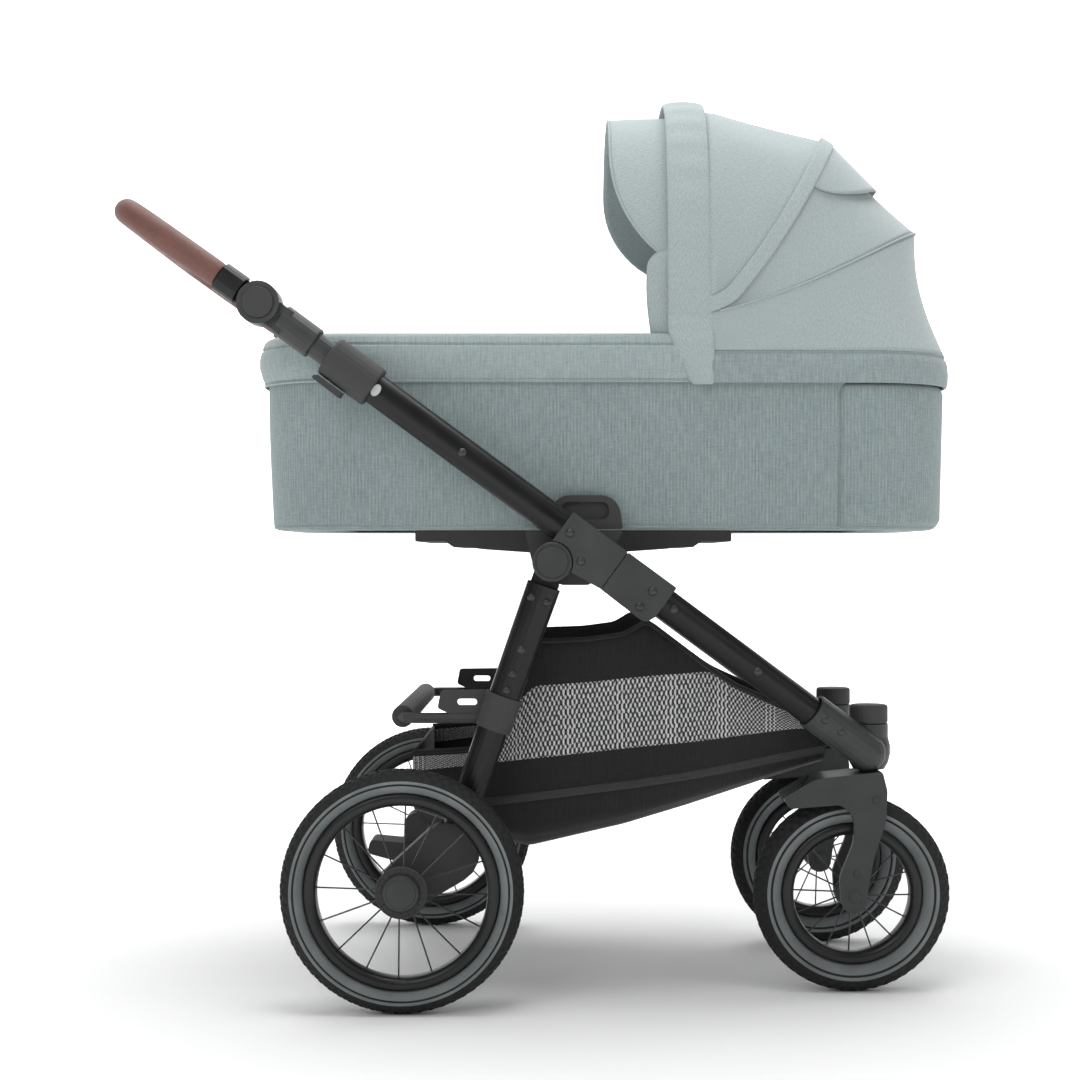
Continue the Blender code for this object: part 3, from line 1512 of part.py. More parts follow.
def build():
    fixed = [make_front_brace(), make_basket()]
    push = []
    handle = [make_handlebar_tube(), make_handlebar_grip()]
    posts = []
    legs = [make_rear_cross_member()]
    axle = [make_rear_axle()]
    carrycot = make_carrycot() + [make_apron()]
    for word, side in SIDES.items():
        fixed += [
            make_lower_tube(word, side),
            make_lower_bracket(word, side),
            make_hinge_housing(word, side),
            make_head_casting(word, side),
        ]
        push += [
            make_upper_bracket(word, side),
            make_hinge_cap(word, side),
            make_upper_tube(word, side),
            make_clamp_collar(word, side),
        ]
        posts.append(make_handle_post(word, side))
        legs.append(make_rear_leg(word, side))
        axle.append(make_swing_arm(word, side))
        group(f"swivel_knob_{word}", (SWIVEL_X, side * HEAD_Y, HEAD_POINT.z), make_swivel_knob(word, side))
        group(f"clamp_lever_{word}", frame_point(*LEVER_HINGE, side * TUBE_Y), make_clamp_lever(word, side))
        group(f"knuckle_button_{word}", at(KNUCKLE, side * TUBE_Y), make_knuckle_button(word, side))
        group(f"rear_wheel_{word}", at(REAR_AXLE, side * REAR_WHEEL_Y), *make_rear_wheel(word, side))
        group(f"fork_{word}", (SWIVEL_X, side * HEAD_Y, HEAD_POINT.z), make_fork(word, side))
        group(f"front_wheel_{word}", at(FRONT_AXLE, side * HEAD_Y), *make_front_wheel(word, side))
        group(
            f"release_handle_{word}",
            (PIVOT.x + 0.040, side * COT_HALF_WIDTH, COT_FLOOR),
            make_release_handle(word, side),
        )
    group("push_frame", PIVOT, *push)
    group("handle_posts", KNUCKLE, *posts)
    group("handlebar", KNUCKLE, *handle)
    group("rear_legs", PIVOT, *legs)
    group("rear_axle_unit", ARM_FOOT, *axle)
    group("brake_pedal", REAR_AXLE, make_brake_pedal())

    margin = math.radians(0.6)
    front_panel = fan_panel(
        "hood_front_panel",
        (math.radians(89.6), PANEL_FRONT_RADIUS),
        (MIDDLE_BOW_ANGLE + margin, PANEL_MIDDLE_RADIUS),
        sag=0.002,
        low=0.12,
    )
    rear_panel = fan_panel(
        "hood_rear_panel",
        (MIDDLE_BOW_ANGLE - margin, PANEL_MIDDLE_RADIUS),
        (REAR_BOW_ANGLE + margin, HOOD_REAR_RADIUS - 0.001),
        sag=0.005,
        low=0.12,
    )
    carrycot += [
        make_back_panel(), rear_panel, make_bow("hood_rear_bow", REAR_BOW_ANGLE, HOOD_REAR_RADIUS, low=0.10)
    ]
    group("hood_front", HOOD_PIVOT, make_front_bow(), make_visor())
    group(
        "hood_middle",
        HOOD_PIVOT,
        make_bow("hood_middle_bow", MIDDLE_BOW_ANGLE, PANEL_MIDDLE_RADIUS, low=0.10),
        front_panel,
    )
    group("carrycot", (PIVOT.x, 0, COT_FLOOR), *carrycot)
    group("front_frame", PIVOT, *fixed)


build()
bpy.context.view_layer.update()
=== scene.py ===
"""Looks of a baby stroller: heathered cloth, stitched leather, rubber, metal and moulded plastic.

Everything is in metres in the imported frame's own axes: +X is the way the stroller is pushed, +Y its left
side, +Z up. Each piece is worked out as whole numpy arrays, and each sub-assembly is a class.
"""

from __future__ import annotations

import json
import logging
import math
from dataclasses import dataclass, field
from enum import Enum
from typing import Optional, Sequence, Union

import bpy
import numpy as np
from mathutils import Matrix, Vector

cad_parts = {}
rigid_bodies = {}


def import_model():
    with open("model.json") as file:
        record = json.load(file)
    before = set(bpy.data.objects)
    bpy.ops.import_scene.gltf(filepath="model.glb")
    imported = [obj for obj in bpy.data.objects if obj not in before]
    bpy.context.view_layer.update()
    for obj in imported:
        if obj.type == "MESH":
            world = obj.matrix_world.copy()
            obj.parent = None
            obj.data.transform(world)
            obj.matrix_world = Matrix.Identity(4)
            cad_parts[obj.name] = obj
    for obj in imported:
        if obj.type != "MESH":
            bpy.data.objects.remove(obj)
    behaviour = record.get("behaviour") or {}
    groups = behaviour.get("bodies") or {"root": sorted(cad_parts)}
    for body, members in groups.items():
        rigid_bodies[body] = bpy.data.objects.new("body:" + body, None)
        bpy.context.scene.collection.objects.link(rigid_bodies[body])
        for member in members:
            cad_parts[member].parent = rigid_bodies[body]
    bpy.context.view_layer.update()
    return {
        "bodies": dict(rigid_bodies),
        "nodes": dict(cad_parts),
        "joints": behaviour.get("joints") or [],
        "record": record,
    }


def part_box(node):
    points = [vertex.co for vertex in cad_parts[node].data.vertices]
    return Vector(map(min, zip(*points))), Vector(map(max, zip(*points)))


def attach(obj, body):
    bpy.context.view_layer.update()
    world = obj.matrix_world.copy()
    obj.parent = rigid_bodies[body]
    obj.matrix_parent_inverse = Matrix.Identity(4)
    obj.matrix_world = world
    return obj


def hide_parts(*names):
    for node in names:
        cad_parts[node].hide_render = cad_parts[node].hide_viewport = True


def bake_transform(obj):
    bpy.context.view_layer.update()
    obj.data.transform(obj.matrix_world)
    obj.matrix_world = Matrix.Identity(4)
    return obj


LOG = logging.getLogger("stroller")
Array = np.ndarray
Colour = tuple[float, float, float]

SIDES: dict[str, int] = {"left": 1, "right": -1}
X_AXIS = np.array([1.0, 0.0, 0.0])
Y_AXIS = np.array([0.0, 1.0, 0.0])
Z_AXIS = np.array([0.0, 0.0, 1.0])


# ------------------------------------------------------------------ surfaces
@dataclass
class Surface:
    """A grid of points that becomes faces.

    points is rows x columns x 3. Rows or columns may close on themselves, caps puts one face over the first
    and one over the last row, and slots gives each band of faces between two rows its material.
    """

    points: Array
    close_rows: bool = False
    close_cols: bool = False
    caps: bool = False
    slots: Optional[Array] = None
    centre: Optional[Array] = None

    def quads(self) -> tuple[Array, Array]:
        """Corner indices of every quad, and the same corners as unwrapped (row, column) pairs."""
        rows, cols = self.points.shape[:2]
        i = np.arange(rows if self.close_rows else rows - 1)
        j = np.arange(cols if self.close_cols else cols - 1)
        i, j = (grid.ravel() for grid in np.meshgrid(i, j, indexing="ij"))
        row = np.stack([i, i, i + 1, i + 1], axis=1)
        col = np.stack([j, j + 1, j + 1, j], axis=1)
        return (row % rows) * cols + col % cols, np.stack([row, col], axis=-1)

    def faces_out(self, quads: Array) -> bool:
        """Whether the quads face away from the centre: the sum of their signed volumes from it isn't
        negative."""
        flat = self.points.reshape(-1, 3)
        centre = flat.mean(axis=0) if self.centre is None else self.centre
        a, b, c, d = (flat[quads[:, k]] - centre for k in range(4))
        return float((np.cross(a, b) * c).sum() + (np.cross(a, c) * d).sum()) >= 0

    def travelled(self, axis: int) -> Array:
        """Metres travelled along an axis of the grid, as the mean over the other axis, one step past the end.
        Metres travelled along an axis of the grid, as the mean over the other axis, one step past the end."""
        ring = np.concatenate([self.points, np.take(self.points, [0], axis=axis)], axis=axis)
        steps = np.linalg.norm(np.diff(ring, axis=axis), axis=-1).mean(axis=1 - axis)
        return np.concatenate([[0.0], np.cumsum(steps)])


def mesh_of(name: str, surfaces: Sequence[Surface]) -> bpy.types.Mesh:
    """One mesh of several grids, facing outwards, with a UV map in metres along each grid.

    Args:
        name: the mesh's name.
        surfaces: the grids.

    Returns:
        The new mesh.
    """
    points, faces, uvs, slots = [], [], [], []
    start = 0
    for surface in surfaces:
        rows, cols = surface.points.shape[:2]
        quads, places = surface.quads()
        flat_uv = np.stack(
            [surface.travelled(0)[places[..., 0]], surface.travelled(1)[places[..., 1]]], axis=-1
        )
        outwards = surface.faces_out(quads)
        if not outwards:
            quads, flat_uv = quads[:, ::-1], flat_uv[:, ::-1]
        faces += (quads + start).tolist()
        uvs.append(flat_uv.reshape(-1, 2))
        bands = np.zeros(rows, int) if surface.slots is None else surface.slots
        slots.append(np.resize(np.repeat(bands, cols if surface.close_cols else cols - 1), len(quads)))
        if surface.caps:
            first = np.arange(cols)[::-1] + start
            last = np.arange(cols) + (rows - 1) * cols + start
            faces += [cap.tolist() if outwards else cap[::-1].tolist() for cap in (first, last)]
            uvs.append(np.zeros((2 * cols, 2)))
            slots.append(np.array([bands[0], bands[-1]]))
        points.append(surface.points.reshape(-1, 3))
        start += rows * cols
    mesh = bpy.data.meshes.new(name)
    mesh.from_pydata(np.concatenate(points).tolist(), [], faces)
    layer = mesh.uv_layers.new(name="UVMap")
    layer.data.foreach_set("uv", np.concatenate(uvs).astype(np.float32).ravel())
    mesh.polygons.foreach_set("material_index", np.concatenate(slots).astype(np.int32))
    return mesh


def unit(vector: Array) -> Array:
    """The vector at length 1."""
    return vector / np.linalg.norm(vector)


def smoothstep(low: float, high: float, value: Array) -> Array:
    """0 below low, 1 above high, and 3t² - 2t³ between."""
    t = np.clip((value - low) / (high - low), 0.0, 1.0)
    return t * t * (3 - 2 * t)


def section(half_a: float, half_b: float, count: int = 32, power: float = 2.0) -> Array:
    """A superellipse: half_a * |cos|^(2/power) by half_b * |sin|^(2/power), with the signs of cos and sin."""
    turn = np.linspace(0, 2 * math.pi, count, endpoint=False)
    cos, sin = np.cos(turn), np.sin(turn)
    across = np.sign(cos) * np.abs(cos) ** (2 / power) * half_a
    up = np.sign(sin) * np.abs(sin) ** (2 / power) * half_b
    return np.stack([across, up], axis=1)


def swept(path: Array, shape: Array, reference: Array, scale: Optional[Array] = None) -> Array:
    """A flat shape carried along a path.

    At each point the shape's first axis is reference x tangent, its second is tangent x first, and the point
    is path + scale * (first * a + second * b).

    Args:
        path: n points.
        shape: m points (a, b) of the section.
        reference: a direction that the path never runs along.
        scale: n sizes of the section, 1 where left out.

    Returns:
        An n x m grid of points.
    """
    tangent = np.gradient(path, axis=0)
    tangent /= np.linalg.norm(tangent, axis=1, keepdims=True)
    first = np.cross(reference, tangent)
    first /= np.linalg.norm(first, axis=1, keepdims=True)
    second = np.cross(tangent, first)
    size = np.ones(len(path)) if scale is None else scale
    offset = first[:, None] * shape[None, :, :1] + second[:, None] * shape[None, :, 1:]
    return path[:, None] + offset * size[:, None, None]


def rounded_rod(
    start: Array, end: Array, half_a: float, half_b: float, rim: float = 0.001, count: int = 40
) -> Surface:
    """A straight oval rod whose end rims are quarter circles of radius rim. half_b is its half width across
    Y."""
    length = float(np.linalg.norm(end - start))
    quarter = np.linspace(0, math.pi / 2, 4)
    near = rim * (1 - np.cos(quarter))
    along = np.concatenate([near, np.linspace(rim, length - rim, 6)[1:-1], length - near[::-1]])
    inset = np.concatenate([rim * (1 - np.sin(quarter)), np.zeros(4), (rim * (1 - np.sin(quarter)))[::-1]])
    direction = unit(end - start)
    reference = X_AXIS if abs(direction[1]) > 0.9 else Y_AXIS
    path = start + direction * along[:, None]
    first = unit(np.cross(reference, direction))
    second = np.cross(direction, first)
    shape = section(1.0, 1.0, count)
    size_a = (half_a - inset)[:, None, None] * shape[None, :, :1]
    size_b = (half_b - inset)[:, None, None] * shape[None, :, 1:]
    return Surface(path[:, None] + first * size_a + second * size_b, close_cols=True, caps=True)


def revolved(
    profile: Array, centre: Array, steps: int = 96, axis: str = "Y", closed: bool = False
) -> Surface:
    """A profile of (radius, height) turned about an axis through centre: radius * (cos, sin) across, height
    along."""
    turn = np.linspace(0, 2 * math.pi, steps, endpoint=False)
    radius, height = profile[:, :1], profile[:, 1:] + 0 * turn
    if axis == "Y":
        grid = np.stack([radius * np.cos(turn), height, radius * np.sin(turn)], axis=-1)
    else:
        grid = np.stack([radius * np.cos(turn), radius * np.sin(turn), height], axis=-1)
    return Surface(grid + centre, close_rows=closed, close_cols=True, caps=not closed)


def filleted(corners: Array, radii: Union[float, Array], steps: int = 6) -> Array:
    """Each corner of a closed outline replaced by an arc that touches both its edges.

    The arc's centre lies radius / sin(half) from the corner along the bisector, and its ends
    radius / tan(half) along the edges, where half is half the corner's angle.
    """
    radii = np.broadcast_to(np.asarray(radii, float), len(corners))[:, None]
    before = np.roll(corners, 1, axis=0) - corners
    after = np.roll(corners, -1, axis=0) - corners
    before /= np.linalg.norm(before, axis=1, keepdims=True)
    after /= np.linalg.norm(after, axis=1, keepdims=True)
    half = np.arccos(np.clip((before * after).sum(axis=1), -1, 1))[:, None] / 2
    middle = before + after
    middle /= np.linalg.norm(middle, axis=1, keepdims=True)
    centre = corners + middle * radii / np.sin(half)
    first = corners + before * radii / np.tan(half) - centre
    last = corners + after * radii / np.tan(half) - centre
    share = np.linspace(0, 1, steps + 1)[None, :, None]
    arm = first[:, None] * (1 - share) + last[:, None] * share
    arm /= np.linalg.norm(arm, axis=2, keepdims=True)
    return (centre[:, None] + arm * radii[:, None]).reshape(-1, 2)


def spaced(outline: Array, count: int) -> Array:
    """A closed outline resampled to count points at equal distances along it."""
    ring = np.concatenate([outline, outline[:1]])
    along = np.concatenate([[0.0], np.cumsum(np.linalg.norm(np.diff(ring, axis=0), axis=1))])
    marks = np.linspace(0, along[-1], count, endpoint=False)
    return np.stack([np.interp(marks, along, ring[:, k]) for k in range(2)], axis=1)


def outline_normals(outline: Array) -> Array:
    """Outward directions of a closed outline that runs anticlockwise, from its neighbours' difference."""
    step = np.roll(outline, -1, axis=0) - np.roll(outline, 1, axis=0)
    step /= np.linalg.norm(step, axis=1, keepdims=True) + 1e-12
    return np.stack([step[:, 1], -step[:, 0]], axis=1)


def dome(centre: Array, radius: float, height: float, side: int, steps: int = 20) -> Surface:
    """A rivet's head on a face that looks along side * Y: radius * cos by height * sin, to its pole."""
    rise = np.array([0.0, 0.25, 0.55, 0.8, 0.97]) * math.pi / 2
    profile = np.stack([radius * np.cos(rise), side * height * np.sin(rise)], axis=1)
    foot = np.array([[radius, -side * 0.001]])
    return revolved(np.concatenate([foot, profile]), centre, steps)


# ------------------------------------------------------------------ materials
class Wiring:
    """One material's node tree, built in short steps."""

    def __init__(self, name: str) -> None:
        """Starts a material with its Principled shader."""
        self.material = bpy.data.materials.new(name)
        self.material.use_nodes = True
        self.tree = self.material.node_tree
        self.shader = self.tree.nodes["Principled BSDF"]

    def add(self, kind: str, inputs: dict, **settings: object) -> bpy.types.Node:
        """A node with its settings, and with each input linked to a socket or set to a value."""
        node = self.tree.nodes.new(kind)
        for key, value in settings.items():
            setattr(node, key, value)
        for key, value in inputs.items():
            if isinstance(value, bpy.types.NodeSocket):
                self.tree.links.new(value, node.inputs[key])
            else:
                node.inputs[key].default_value = value
        return node

    def coordinates(
        self, output: str, scale: Sequence[float] = (1, 1, 1), turn: float = 0.0
    ) -> bpy.types.NodeSocket:
        """Texture coordinates, scaled and turned about Z."""
        source = self.add("ShaderNodeTexCoord", {}).outputs[output]
        node = self.add("ShaderNodeMapping", {"Vector": source, "Scale": scale, "Rotation": (0, 0, turn)})
        return node.outputs["Vector"]

    def noise(self, vector: bpy.types.NodeSocket, scale: float, detail: float = 2.0) -> bpy.types.NodeSocket:
        """Noise from 0 to 1."""
        return self.add(
            "ShaderNodeTexNoise", {"Vector": vector, "Scale": scale, "Detail": detail}
        ).outputs["Fac"]

    def math(self, operation: str, a: object, b: object = 0.0) -> bpy.types.NodeSocket:
        """A sum of two numbers or sockets."""
        return self.add("ShaderNodeMath", {0: a, 1: b}, operation=operation).outputs[0]

    def remap(
        self, value: object, low: float, high: float, to_low: float, to_high: float
    ) -> bpy.types.NodeSocket:
        """The value taken from one range to another, and held to it."""
        inputs = {"Value": value, 1: low, 2: high, 3: to_low, 4: to_high}
        return self.add("ShaderNodeMapRange", inputs).outputs[0]

    def ramp(self, factor: object, stops: Sequence[tuple[float, Colour]]) -> bpy.types.NodeSocket:
        """A colour ramp through the stops."""
        node = self.add("ShaderNodeValToRGB", {"Fac": factor})
        elements = node.color_ramp.elements
        while len(elements) < len(stops):
            elements.new(0.5)
        for element, (place, colour) in zip(elements, stops):
            element.position = place
            element.color = (*colour, 1)
        return node.outputs["Color"]

    def bump(self, height: object, distance: float, strength: float = 1.0) -> None:
        """Raises the surface by the height times the distance."""
        node = self.add("ShaderNodeBump", {"Height": height, "Distance": distance, "Strength": strength})
        self.feed("Normal", node.outputs["Normal"])

    def feed(self, name: str, value: object) -> None:
        """Links or sets one of the shader's inputs."""
        if isinstance(value, bpy.types.NodeSocket):
            self.tree.links.new(value, self.shader.inputs[name])
        else:
            self.shader.inputs[name].default_value = value


@dataclass(frozen=True)
class Finish:
    """Something a piece's surface is made of."""

    name: str

    def material(self) -> bpy.types.Material:
        """The finish's material, made once."""
        found = bpy.data.materials.get(self.name)
        return found or self.wire(Wiring(self.name))

    def wire(self, wiring: Wiring) -> bpy.types.Material:
        """Builds the nodes. Each kind of finish has its own."""
        raise NotImplementedError


@dataclass(frozen=True)
class HeatherCloth(Finish):
    """Melange canvas: long warp streaks over a fine plain weave, each thread a little lighter or darker."""

    dark: Colour
    middle: Colour
    light: Colour
    streak_m: float = 0.0019
    streak_length_m: float = 0.022
    weave_m: float = 0.0024
    turn: float = 0.0
    rib: float = 0.12

    def wire(self, wiring: Wiring) -> bpy.types.Material:
        """Warp and weft noise stretched along UV, a speckle, faint ribs, and a weave of sines for the bump.
        Warp and weft noise stretched along UV, a speckle, faint ribs, and a weave of sines for the bump."""
        fine, long = 1 / self.streak_m, 1 / self.streak_length_m
        warp = wiring.noise(wiring.coordinates("UV", (long, fine, 1), self.turn), 1.0, 3.0)
        weft = wiring.noise(wiring.coordinates("UV", (fine, long * 1.5, 1), self.turn), 1.0, 2.0)
        speckle = wiring.noise(wiring.coordinates("UV", (1, 1, 1)), 0.8 / self.streak_m, 4.0)
        cloudy = wiring.noise(wiring.coordinates("UV", (1, 1, 1)), 9.0, 2.0)
        mixed = wiring.math("ADD", wiring.math("MULTIPLY", warp, 0.45), wiring.math("MULTIPLY", weft, 0.22))
        mixed = wiring.math("ADD", mixed, wiring.math("MULTIPLY", speckle, 0.25))
        mixed = wiring.math("ADD", mixed, wiring.math("MULTIPLY", cloudy, 0.08))
        ribs = wiring.add(
            "ShaderNodeSeparateXYZ", {0: wiring.coordinates("UV", (1, 1, 1), self.turn)}
        ).outputs[1]
        ribs = wiring.math("SINE", wiring.math("MULTIPLY", ribs, 2 * math.pi / 0.0042))
        mixed = wiring.math("ADD", mixed, wiring.math("MULTIPLY", ribs, self.rib * 0.16))
        colour = wiring.ramp(mixed, [(0.30, self.dark), (0.50, self.middle), (0.70, self.light)])
        wiring.feed("Base Color", colour)
        split = wiring.add(
            "ShaderNodeSeparateXYZ", {0: wiring.coordinates("UV", (1, 1, 1), self.turn)}
        ).outputs
        rate = 2 * math.pi / self.weave_m
        waves = [wiring.math("SINE", wiring.math("MULTIPLY", split[k], rate)) for k in (0, 1)]
        weave = wiring.math("MULTIPLY", *waves)
        height = wiring.math(
            "ADD", wiring.math("MULTIPLY", weave, 0.5), wiring.math("MULTIPLY", speckle, 1.2)
        )
        wiring.bump(height, 0.00024, 0.7)
        wiring.feed("Roughness", wiring.remap(speckle, 0.3, 0.7, 0.82, 0.96))
        wiring.feed("Sheen Weight", 0.22)
        wiring.feed("Sheen Roughness", 0.5)
        wiring.feed("Specular IOR Level", 0.25)
        return wiring.material


@dataclass(frozen=True)
class NetCloth(Finish):
    """Open tweed net: pale dashes in staggered rows on black, with three bright threads at even distances."""

    dash_m: float = 0.0056
    row_m: float = 0.0078
    band_m: float = 0.066

    def wire(self, wiring: Wiring) -> bpy.types.Material:
        """Product of two sines for the dashes, with noise breaking them up."""
        split = wiring.add("ShaderNodeSeparateXYZ", {0: wiring.coordinates("UV")}).outputs
        across = wiring.math("SINE", wiring.math("MULTIPLY", split[0], 2 * math.pi / self.row_m))
        along = wiring.math("SINE", wiring.math("MULTIPLY", split[1], 2 * math.pi / self.dash_m))
        rough = wiring.noise(wiring.coordinates("UV"), 300.0, 2.0)
        place = wiring.math("FRACT", wiring.math("MULTIPLY", split[1], 1 / self.band_m))
        stripe = wiring.math(
            "MULTIPLY", wiring.remap(place, 0.0, 0.05, 0.0, 1.0), wiring.remap(place, 0.24, 0.29, 1.0, 0.0)
        )
        thread = wiring.math("SINE", wiring.math("MULTIPLY", split[1], 2 * math.pi / (self.band_m * 0.085)))
        thread = wiring.math("MULTIPLY", wiring.remap(thread, 0.0, 0.9, -0.2, 0.7), stripe)
        height = wiring.math("ADD", wiring.math("MULTIPLY", across, along), thread)
        height = wiring.math("ADD", height, wiring.remap(rough, 0.3, 0.7, -0.35, 0.35))
        colour = wiring.ramp(
            wiring.remap(height, -1.0, 1.0, 0.0, 1.0),
            [(0.40, (0.018, 0.018, 0.019)), (0.56, (0.21, 0.21, 0.21)), (0.78, (0.60, 0.60, 0.59))],
        )
        wiring.feed("Base Color", colour)
        wiring.feed("Roughness", wiring.remap(rough, 0.3, 0.7, 0.7, 0.95))
        wiring.bump(height, 0.0005, 0.7)
        return wiring.material


@dataclass(frozen=True)
class Moulded(Finish):
    """Moulded plastic or painted metal: a fine grain, uneven gloss and a slightly uneven tone."""

    colour: Colour
    roughness: float
    metallic: float = 0.0
    grain_m: float = 0.0006
    grain_depth: float = 0.00006
    coat: float = 0.0
    gloss: float = 0.5

    def wire(self, wiring: Wiring) -> bpy.types.Material:
        """Grain from two sizes of noise on object coordinates."""
        where = wiring.coordinates("Object")
        grain = wiring.noise(where, 1 / self.grain_m, 3.0)
        broad = wiring.noise(where, 22.0, 3.0)
        darker = tuple(0.82 * c for c in self.colour)
        lighter = tuple(min(1.0, 1.25 * c) for c in self.colour)
        wiring.feed("Base Color", wiring.ramp(broad, [(0.3, darker), (0.52, self.colour), (0.75, lighter)]))
        low, high = self.roughness - 0.06, self.roughness + 0.08
        wiring.feed("Roughness", wiring.remap(wiring.math("ADD", broad, grain), 0.7, 1.3, low, high))
        wiring.feed("Metallic", self.metallic)
        wiring.feed("Coat Weight", self.coat)
        wiring.feed("Specular IOR Level", self.gloss)
        wiring.feed("Coat Roughness", 0.3)
        wiring.bump(grain, self.grain_depth, 0.6)
        return wiring.material


@dataclass(frozen=True)
class Leather(Finish):
    """Brown grained leather: small cells with darker creases between, and a worn sheen."""

    colour: Colour
    cell_m: float = 0.0016

    def wire(self, wiring: Wiring) -> bpy.types.Material:
        """Voronoi cells for the grain, noise for the wear."""
        where = wiring.coordinates("Object")
        cells = wiring.add(
            "ShaderNodeTexVoronoi", {"Vector": where, "Scale": 1 / self.cell_m}, feature="DISTANCE_TO_EDGE"
        ).outputs["Distance"]
        worn = wiring.noise(where, 30.0, 4.0)
        deep = tuple(0.55 * c for c in self.colour)
        pale = tuple(min(1.0, 1.22 * c) for c in self.colour)
        mixed = wiring.math(
            "ADD", wiring.remap(cells, 0.0, 0.25, 0.0, 0.55), wiring.math("MULTIPLY", worn, 0.6)
        )
        wiring.feed("Base Color", wiring.ramp(mixed, [(0.25, deep), (0.62, self.colour), (0.95, pale)]))
        wiring.feed("Roughness", wiring.remap(worn, 0.3, 0.7, 0.48, 0.66))
        wiring.bump(wiring.remap(cells, 0.0, 0.3, 0.0, 1.0), 0.00016, 0.7)
        return wiring.material


@dataclass(frozen=True)
class Studio(Finish):
    """Plain pale paper for the floor."""

    def wire(self, wiring: Wiring) -> bpy.types.Material:
        """White, and glowing white from a few steps out, so that the room has no corners."""
        wiring.feed("Base Color", (0.92, 0.92, 0.92, 1))
        wiring.feed("Roughness", 0.9)
        wiring.feed("Specular IOR Level", 0.1)
        middle = wiring.add(
            "ShaderNodeVectorMath", {0: wiring.coordinates("Object")}, operation="LENGTH"
        ).outputs["Value"]
        wiring.feed("Emission Color", (1, 1, 1, 1))
        wiring.feed("Emission Strength", wiring.remap(middle, 0.75, 2.6, 0.0, 1.05))
        return wiring.material


class Look(Enum):
    """Every finish on the stroller."""

    CANVAS = HeatherCloth(
        "grey_canvas", (0.150, 0.186, 0.188), (0.232, 0.284, 0.286), (0.322, 0.380, 0.380), rib=0.30
    )
    CANVAS_SOFT = HeatherCloth(
        "grey_canvas_soft", (0.200, 0.243, 0.246), (0.290, 0.346, 0.348), (0.385, 0.440, 0.438)
    )
    CANVAS_TWILL = HeatherCloth(
        "grey_canvas_twill",
        (0.262, 0.308, 0.311),
        (0.336, 0.387, 0.389),
        (0.420, 0.470, 0.468),
        streak_m=0.0016,
        streak_length_m=0.006,
        turn=0.5,
    )
    CANVAS_HEM = HeatherCloth(
        "grey_canvas_hem", (0.165, 0.203, 0.205), (0.245, 0.297, 0.299), (0.335, 0.392, 0.392)
    )
    LINING = HeatherCloth(
        "pale_lining", (0.36, 0.38, 0.38), (0.45, 0.47, 0.465), (0.55, 0.57, 0.565), 0.002, 0.006
    )
    BASKET_CANVAS = HeatherCloth(
        "black_canvas", (0.008, 0.008, 0.0085), (0.013, 0.013, 0.0135), (0.021, 0.021, 0.0215)
    )
    NET = NetCloth("tweed_net")
    PIPING = HeatherCloth("grey_piping", (0.025, 0.026, 0.026), (0.036, 0.037, 0.037), (0.050, 0.051, 0.051))
    TUBE = Moulded("black_tube", (0.0050, 0.0052, 0.0052), 0.34, 0.0, 0.0011, 0.00003, 0.0, 0.30)
    PLASTIC = Moulded("black_plastic", (0.010, 0.0104, 0.0104), 0.45, gloss=0.40)
    CHARCOAL = Moulded("charcoal_plastic", (0.030, 0.032, 0.032), 0.48, gloss=0.45)
    RIM = Moulded("rim_paint", (0.008, 0.0085, 0.0085), 0.33, 0.0, 0.001, 0.00003, 0.0, 0.40)
    STEEL = Moulded("dark_steel", (0.034, 0.035, 0.035), 0.34, 0.3, 0.0008, 0.00002)
    SIDEWALL = Moulded("tyre_sidewall", (0.165, 0.180, 0.180), 0.62, 0.0, 0.0007, 0.00005, gloss=0.35)
    TREAD = Moulded("tyre_tread", (0.013, 0.0135, 0.0135), 0.70, 0.0, 0.0007, 0.0001, gloss=0.3)
    LEATHER = Leather("brown_leather", (0.150, 0.060, 0.047))
    PALE = Moulded("pale_mark", (0.42, 0.45, 0.45), 0.45)


# ------------------------------------------------------------------ pieces
@dataclass(frozen=True)
class Layout:
    """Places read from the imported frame."""

    frame: dict
    pivot: Array
    knuckle: Array
    hood: Array
    arm_foot: Array
    rear_hub: Array
    front_hub: Array
    swivel: Array
    tub: tuple[Array, Array]
    angle: float = math.radians(36.33)
    hinge_drop: float = 0.0415
    tube_y: float = 0.25

    @classmethod
    def read(cls, frame: dict) -> "Layout":
        """Takes joint places and boxes from the frame."""
        joints = {joint["name"]: joint for joint in frame["record"]["behaviour"]["joints"]}

        def spot(name: str) -> Array:
            """A joint's place at rest."""
            return np.array(joints[name]["pos_m"], float)

        def corners(node: str) -> tuple[Array, Array]:
            """A node's box."""
            low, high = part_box(node)
            return np.array(low, float), np.array(high, float)

        return cls(
            frame,
            spot("fold"),
            spot("handle_angle"),
            spot("hood_fold"),
            spot("axle_suspension"),
            spot("rear_wheel_spin_left"),
            spot("front_wheel_spin_left"),
            spot("swivel_left"),
            corners("carrycot_tub"),
        )

    @property
    def up_frame(self) -> Array:
        """The way along the side tubes to the handle."""
        return np.array([-math.cos(self.angle), 0, math.sin(self.angle)])

    @property
    def over_frame(self) -> Array:
        """The way square to the side tubes, upwards."""
        return np.array([math.sin(self.angle), 0, math.cos(self.angle)])

    def on_frame(self, along: Union[float, Array], above: Union[float, Array] = 0.0, y: float = 0.0) -> Array:
        """A point so far up the side tubes from the hinge's foot and so far over their middle."""
        foot = self.pivot + self.over_frame * self.hinge_drop
        along, above = np.asarray(along, float)[..., None], np.asarray(above, float)[..., None]
        return foot + self.up_frame * along + self.over_frame * above + Y_AXIS * y


